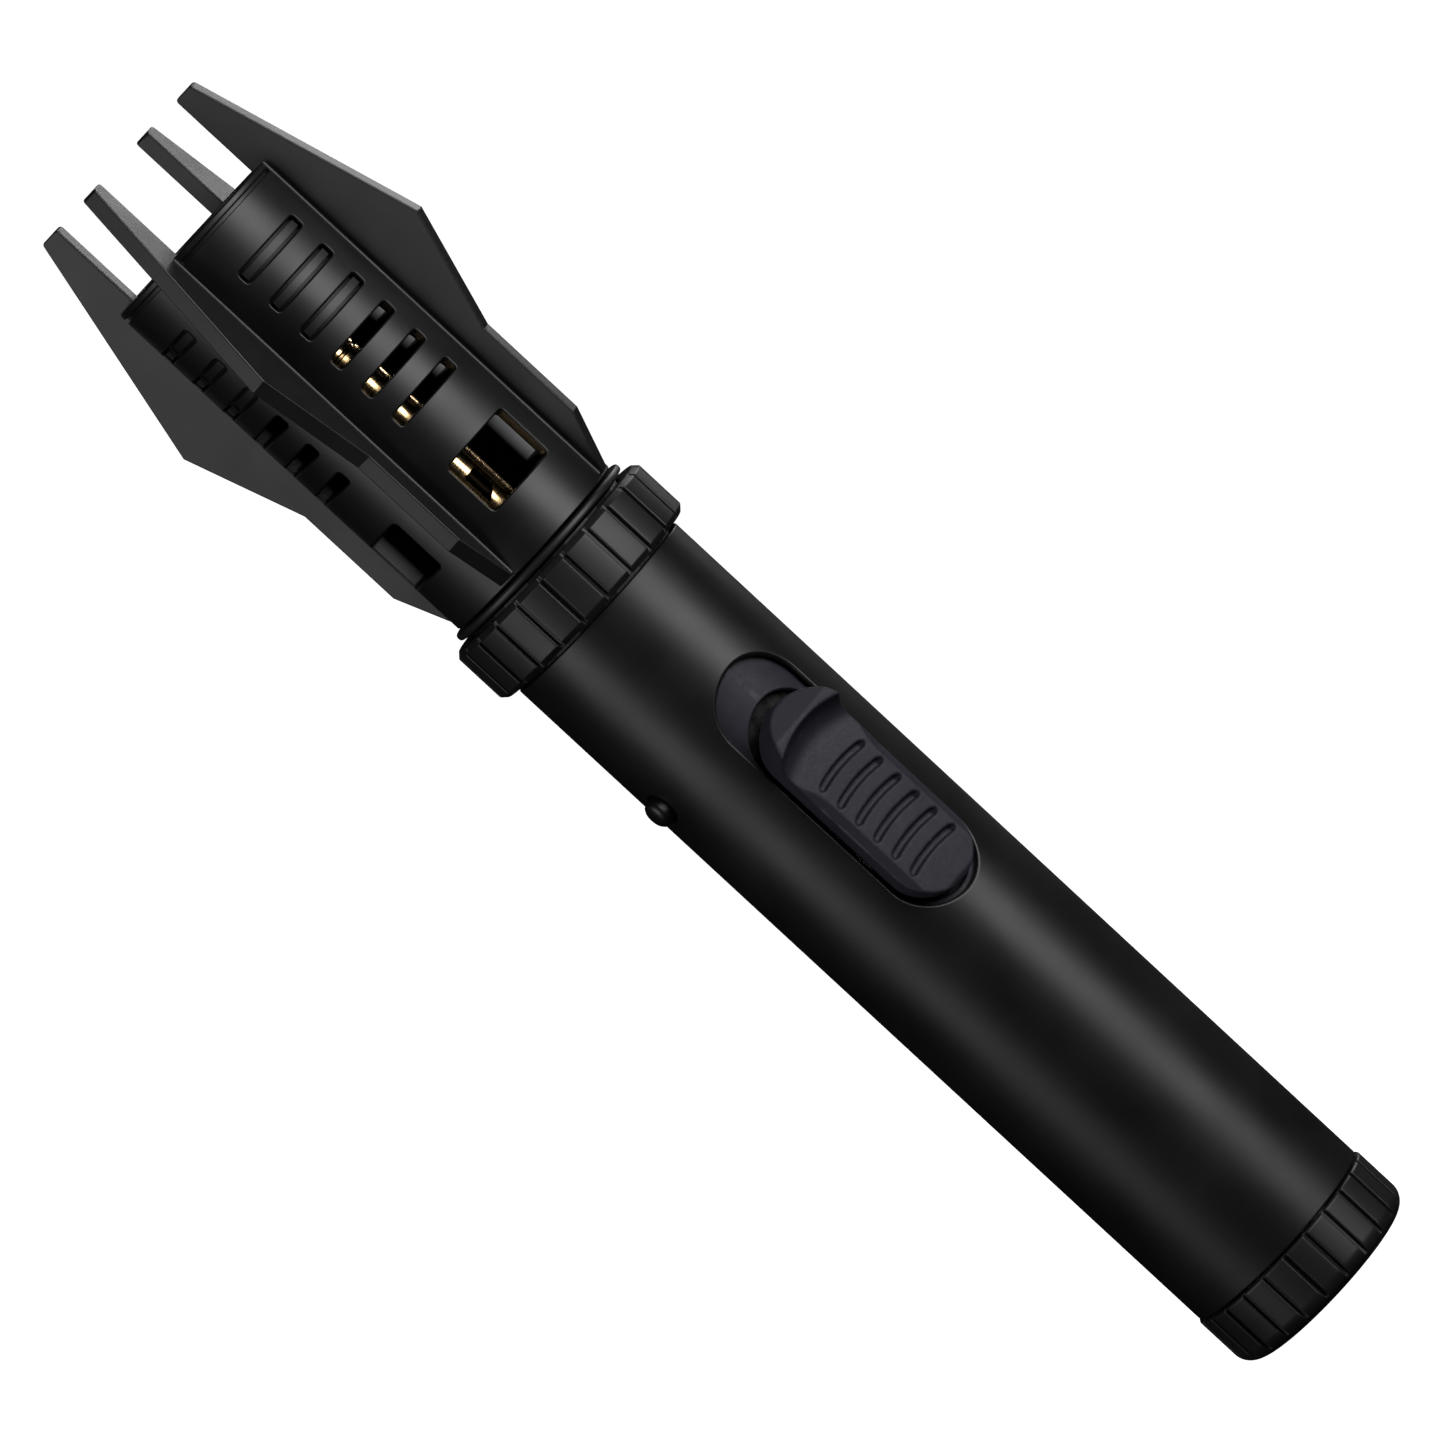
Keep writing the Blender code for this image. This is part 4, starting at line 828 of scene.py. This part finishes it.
def root_fillet(angle):
    """Concave fillets along both sides of a fin's foot, sunk a little into fin and tube."""
    bm = bmesh.new()
    inner_x = 0.5 * FIN_THICKNESS - 0.4
    corner_x = 0.5 * FIN_THICKNESS + FIN_FILLET_R - 0.025
    surface = math.sqrt(GUARD_R**2 - corner_x**2) - 0.03
    top = surface + FIN_FILLET_R
    ring = arc_points((corner_x, top), FIN_FILLET_R, 180.0, 270.0, 8)
    ring += [(corner_x, surface - 0.4), (inner_x, surface - 0.4), (inner_x, top)]
    for side in (-1.0, 1.0):
        first = len(bm.verts)
        ends = (GUARD_BOTTOM + 0.6, GUARD_RIM - 0.15)
        add_skin(bm, [[(side * x, -y, z) for x, y in ring] for z in ends], capped=True)
        turn_verts(bm, first, angle)
    return bm


def slot_at(index):
    """Function giving the outline of a guard slot, counted from the lowest, grown all round."""
    middle = FIRST_SLOT + index * SLOT_PITCH
    half = 0.5 * SLOT_HEIGHT - OPENING_RIM
    width = OPENING_HALF_WIDTH - OPENING_RIM
    return lambda grow: box_outline(width, middle - half, middle + half, SLOT_CORNER, grow)


def window_at(grow):
    """Outline of the guard's tall window, grown all round."""
    bottom = WINDOW_BOTTOM + OPENING_RIM
    top = WINDOW_TOP - OPENING_RIM
    return box_outline(OPENING_HALF_WIDTH - OPENING_RIM, bottom, top, WINDOW_CORNER, grow)


def blind_recesses():
    """Cutter for the blind slots, down to a round floor."""
    bm = bmesh.new()
    for angle in PANEL_ANGLES:
        for index in BLIND_SLOTS:
            add_flared_cutter(bm, slot_at(index), angle, GUARD_R, OPENING_RIM, RECESS_CUT_TO_R)
    recesses = make_object("recess_cutters", bm)
    floor = bmesh.new()
    add_core(floor, BLIND_FLOOR_R, *BLIND_SPAN)
    shape_with(recesses, floor, "DIFFERENCE")
    return taken_back(recesses)


def blind_pads():
    """Pads that stand in the blind slots, with round faces."""
    bm = bmesh.new()
    for angle in PANEL_ANGLES:
        for index in BLIND_SLOTS:
            first = len(bm.verts)
            outline = slot_at(index)(-PAD_MARGIN)
            add_skin(bm, [[(x, y, z) for x, z in outline] for y in PAD_BLOCK], capped=True)
            turn_verts(bm, first, angle)
    pads = make_object("pad_blocks", bm)
    core = bmesh.new()
    add_core(core, PAD_R, *BLIND_SPAN)
    shape_with(pads, core, "INTERSECT")
    return taken_back(pads)


def make_guard():
    """Guard tube with four filleted fins and its open and blind openings."""
    bead = GUARD_RIM - RIM_BEAD
    outline = (
        (GUARD_BORE_R, GUARD_BOTTOM),
        (GUARD_R, GUARD_BOTTOM),
        (GUARD_R, bead - RIM_GROOVE),
        (GUARD_R - RIM_GROOVE, bead - 0.46),
        (GUARD_R - RIM_GROOVE, bead),
        (GUARD_R - 0.04, bead + 0.04),
        (GUARD_R - 0.04, GUARD_RIM),
        (GUARD_BORE_R, GUARD_RIM),
    )
    corners = [0.15, 0.2, 0.08, 0.03, 0.03, 0.25, 0.45, 0.25]
    bm = bmesh.new()
    add_turned(bm, rounded(outline, corners, 5), OUTER_STEPS)
    obj = make_object("guard_shell", bm)
    for angle in FIN_ANGLES:
        shape_with(obj, fin_plate(angle), "UNION")
        shape_with(obj, root_fillet(angle), "UNION")
    cutters = bmesh.new()
    for angle in PANEL_ANGLES:
        add_flared_cutter(cutters, window_at, angle, GUARD_R, OPENING_RIM, CUT_TO_R)
        for index in OPEN_SLOTS:
            add_flared_cutter(cutters, slot_at(index), angle, GUARD_R, OPENING_RIM, CUT_TO_R)
    shape_with(obj, cutters, "DIFFERENCE")
    shape_with(obj, blind_recesses(), "DIFFERENCE")
    shape_with(obj, blind_pads(), "UNION")
    finish_piece(
        obj, MATERIALS["black_paint"], "housing", ["flame_guard"], wall=GUARD_R,
    )


# ----------------------------------------------------------- slide, bed and stud

def slide_side():
    """Side view of the slide, the saddle behind its hook not yet cut."""
    side = [*SLIDE_FOOT, (-GRIP_HEIGHT, SADDLE_START), (-CREST_HEIGHT, SADDLE_START)]
    side += [(-CREST_HEIGHT, CREST_Z), (-(CREST_HEIGHT - 0.1), CREST_Z + 0.4)]
    return side + list(SLIDE_BACK)


def saddle_cutter():
    """Hollow behind the hook, bowed like the grooves."""
    saddle = [tuple(point) for point in smooth_path(SADDLE_LINE, 4)]
    rings = []
    steps = 18
    for k in range(steps + 1):
        x = SADDLE_HALF_WIDTH * (2.0 * k / steps - 1.0)
        sag = SADDLE_BOW * (x / SLIDE_PLAN[0]) ** 2
        start = SADDLE_START - 2.0
        section = [(SADDLE_LINE[-1][0], start), (SADDLE_LINE[0][0], start)]
        section += [(y, z - sag) for y, z in saddle]
        rings.append([(x, y, z) for y, z in section])
    bm = bmesh.new()
    add_skin(bm, rings, capped=True)
    return bm


def shoulder_cutter():
    """Slopes down both sides of the grip, which end below the hook."""
    bm = bmesh.new()
    over = -(GRIP_HEIGHT + 0.5)
    for side in (-1.0, 1.0):
        ring = (
            (side * SHOULDER_X, over),
            (side * SHOULDER_X, -GRIP_HEIGHT),
            (side * SLIDE_PLAN[0], -SHOULDER_HEIGHT),
            (side * 7.0, -SHOULDER_HEIGHT),
            (side * 7.0, over),
        )
        rings = [[(x, y, z) for x, y in ring] for z in (SLIDE_PLAN[1] - 1.0, SHOULDER_TOP)]
        rings.append([(x, min(y, -GRIP_HEIGHT + 0.25), SADDLE_START + 3.0) for x, y in ring])
        add_skin(bm, rings, capped=True)
    return bm


def grip_groove_cutter():
    """Bowed grooves across the grip, shallower and narrower towards their ends."""
    bm = bmesh.new()
    steps = 16
    over = -16.2
    for index in range(GRIP_GROOVES):
        middle = GRIP_GROOVE_FIRST + GRIP_GROOVE_PITCH * index
        rings = []
        for k in range(steps + 1):
            across = 2.0 * k / steps - 1.0
            x = GRIP_GROOVE_HALF_WIDTH * across
            fade = min(1.0, 6.0 * (1.0 - abs(across)) + 0.35)
            half = GRIP_GROOVE_HALF_HEIGHT * fade
            floor = -(GRIP_HEIGHT - GRIP_GROOVE_DEPTH * fade)
            z = middle - GRIP_GROOVE_BOW * across**2
            rings.append([
                (x, over, z - half - 0.1),
                (x, over, z + half + 0.1),
                (x, floor, z + half - 0.1),
                (x, floor, z - half + 0.1),
            ])
        add_skin(bm, rings, capped=True)
    return bm


def make_slide():
    """Thumb slide, cut like the CAD one, then softened as a moulding is."""
    bm = bmesh.new()
    add_prism(bm, slide_side(), -6.5, 6.5, "X")
    obj = make_object("thumb_slide", bm)
    plan = bmesh.new()
    add_prism(plan, stadium(*SLIDE_PLAN), -19.0, -8.0, "Y")
    shape_with(obj, plan, "INTERSECT")
    underside = bmesh.new()
    add_core(underside, TUBE_BORE_R, 60.0, 110.0)
    shape_with(obj, underside, "DIFFERENCE")
    shape_with(obj, saddle_cutter(), "DIFFERENCE")
    shape_with(obj, shoulder_cutter(), "DIFFERENCE")
    neck = bmesh.new()
    add_prism(neck, stadium(*SLIDE_NECK), -11.9, -13.8, "Y")
    shape_with(obj, neck, "UNION")
    shape_with(obj, grip_groove_cutter(), "DIFFERENCE")
    modifier = obj.modifiers.new("skin", "REMESH")
    modifier.mode = "VOXEL"
    modifier.voxel_size = SLIDE_VOXEL * MM
    modifier = obj.modifiers.new("soften", "SMOOTH")
    modifier.factor = 0.5
    modifier.iterations = 7
    bake(obj)
    finish_piece(
        obj, MATERIALS["charcoal_plastic"], "trigger", ["slide_trigger"],
        sharp=60.0, weighted=False,
    )


def make_bed():
    """Curved bed plate under the slot, with the rounded hole for the slide's neck."""
    bm = bmesh.new()
    rings = []
    for angle in range(-BED_HALF_ANGLE, BED_HALF_ANGLE + 1):
        rings.append([
            around(BED_BORE_R, angle, BED_BOTTOM),
            around(BED_R, angle, BED_BOTTOM),
            around(BED_R, angle, BED_TOP),
            around(BED_BORE_R, angle, BED_TOP),
        ])
    add_skin(bm, rings, capped=True)
    obj = make_object("bed_plate", bm)
    cutter = bmesh.new()
    add_flared_cutter(cutter, lambda grow: stadium(*BED_HOLE, grow), 0.0, BED_R, 0.25, CUT_TO_R)
    shape_with(obj, cutter, "DIFFERENCE")
    finish_piece(
        obj, MATERIALS["charcoal_plastic"], "housing", ["slide_bed"],
    )


def make_stud():
    """Lock stud with a domed head, a waist, a flange and its pin."""
    rings = []
    for depth, radius in STUD_HEAD + STUD_FOOT:
        count = STUD_STEPS if radius > 0.0 else 1
        turns = [2.0 * math.pi * k / STUD_STEPS for k in range(count)]
        ring = [(depth, radius * math.cos(t), LOCK_Z + radius * math.sin(t)) for t in turns]
        rings.append(ring)
    bm = bmesh.new()
    add_skin(bm, rings)
    obj = make_object("lock_stud", bm)
    finish_piece(obj, MATERIALS["black_paint"], "lock", ["lock_button"])


# ---------------------------------------------------------------------- burner

def make_burner():
    """Brass mixing tube with its air inlets, the steel head and the perforated disc."""
    bm = bmesh.new()
    add_turned(bm, rounded(MIXING_TUBE, 0.06, 3))
    obj = make_object("mixing_tube", bm)
    inlets = bmesh.new()
    for angle in PANEL_ANGLES:
        first = len(inlets.verts)
        add_prism(inlets, rounded(INLET, 0.15), -1.5, -5.0, "Y")
        turn_verts(inlets, first, angle)
    shape_with(obj, inlets, "DIFFERENCE")
    finish_piece(obj, MATERIALS["brass"], "housing", ["burner_tube"])

    bm = bmesh.new()
    add_turned(bm, rounded(BURNER_CROWN, 0.12, 3))
    obj = make_object("burner_crown", bm)
    finish_piece(obj, MATERIALS["steel"], "housing", ["burner_head"])

    bm = bmesh.new()
    add_turned(bm, PORT_DISC, closed=False)
    obj = make_object("port_disc", bm)
    ports = bmesh.new()
    places = [(0.0, 0.0)] + [around(PORT_RING_R, 60.0 * k)[:2] for k in range(6)]
    for place in places:
        add_turned(ports, PORT, PORT_STEPS, place, closed=False)
    shape_with(obj, ports, "DIFFERENCE")
    finish_piece(obj, MATERIALS["steel"], "housing", ["flame_disc"])


def make_electrode():
    """Ceramic insulator and the spark wire bent over the burner."""
    bm = bmesh.new()
    add_turned(bm, rounded(INSULATOR, 0.15), 40, around(SPARK_R, SPARK_ANGLE)[:2])
    obj = make_object("spark_insulator", bm)
    finish_piece(obj, MATERIALS["ceramic"], "housing", ["electrode_insulator"])

    route = [Vector(around(SPARK_R, SPARK_ANGLE, height)) for height in (117.6, 181.0)]
    bend = ((SPARK_R, 182.0), (7.4, 183.6), (5.6, 184.4))
    route += smooth_path([around(radius, SPARK_ANGLE, height) for radius, height in bend])
    bm = bmesh.new()
    add_sweep(bm, route, SPARK_WIRE_R, 20)
    obj = make_object("spark_wire", bm)
    finish_piece(obj, MATERIALS["steel"], "housing", ["electrode_rod"])


make_cap()
make_collar()
make_tube()
make_seat()
make_guard()
make_slide()
make_bed()
make_stud()
make_burner()
make_electrode()


# ---------------------------------------------------- floor, camera and lighting

FLOOR_SIZE = 60.0
bpy.ops.mesh.primitive_plane_add(size=FLOOR_SIZE, location=(0.0, 0.0, -0.0002))
floor = bpy.context.active_object
floor.name = "floor"
floor.visible_diffuse = False
floor.visible_glossy = False
paper = Shader("paper_floor", 0.9, 0.0, 0.0)
paper.bsdf.inputs["Base Color"].default_value = (0.5, 0.5, 0.5, 1.0)
paper.bsdf.inputs["Emission Color"].default_value = (1.0, 1.0, 1.0, 1.0)
paper.bsdf.inputs["Emission Strength"].default_value = 1.1
floor.data.materials.append(paper.done())

world = bpy.data.worlds.new("studio")
bpy.context.scene.world = world
world.use_nodes = True
sky = world.node_tree
back = sky.nodes["Background"]
back.inputs["Color"].default_value = (0.5, 0.5, 0.5, 1.0)
back.inputs["Strength"].default_value = 0.006
white = sky.nodes.new("ShaderNodeBackground")
white.inputs["Color"].default_value = (1.0, 1.0, 1.0, 1.0)
path = sky.nodes.new("ShaderNodeLightPath")
mix = sky.nodes.new("ShaderNodeMixShader")
sky.links.new(path.outputs["Is Camera Ray"], mix.inputs["Fac"])
sky.links.new(back.outputs["Background"], mix.inputs[1])
sky.links.new(white.outputs["Background"], mix.inputs[2])
sky.links.new(mix.outputs["Shader"], sky.nodes["World Output"].inputs["Surface"])

CAMERA_AT = Vector((-0.516, -1.199, 0.2031))
CAMERA_AIM = Vector((0.0, 0.0, 0.1018))
CAMERA_ROLL = -47.24
CAMERA_LENS = 266.6
camera_data = bpy.data.cameras.new("camera")
camera_data.lens = CAMERA_LENS
camera_data.sensor_width = 36.0
camera = bpy.data.objects.new("camera", camera_data)
bpy.context.collection.objects.link(camera)
level = (CAMERA_AIM - CAMERA_AT).to_track_quat("-Z", "Y")
camera.rotation_mode = "QUATERNION"
camera.location = CAMERA_AT
camera.rotation_quaternion = level @ Quaternion((0.0, 0.0, 1.0), math.radians(CAMERA_ROLL))
camera_data.clip_start = 0.01
camera_data.clip_end = 100.0
bpy.context.scene.camera = camera

LIGHT_AIM = Vector((0.0, 0.0, 0.115))


def add_softbox(name, angle, distance, height, size, power):
    """Soft strip light standing beside the lighter, aimed at its axis."""
    data = bpy.data.lights.new(name, "AREA")
    data.shape = "RECTANGLE"
    data.size = size[0]
    data.size_y = size[1]
    data.energy = power
    light = bpy.data.objects.new(name, data)
    bpy.context.collection.objects.link(light)
    light.location = around(distance, angle, height)
    aim = LIGHT_AIM - light.location
    light.rotation_mode = "QUATERNION"
    light.rotation_quaternion = aim.to_track_quat("-Z", "Y")


# Angle round the lighter in degrees, distance from its axis, height and size in metres, power
# in watts.
add_softbox("key_strip", 28.0, 0.6, 0.22, (0.34, 0.55), 3.2)
add_softbox("fill_strip", -80.0, 0.6, 0.25, (0.32, 0.5), 1.3)
add_softbox("rim_strip", 116.0, 0.6, 0.3, (0.07, 0.34), 0.8)

bpy.context.scene.view_settings.view_transform = "Standard"
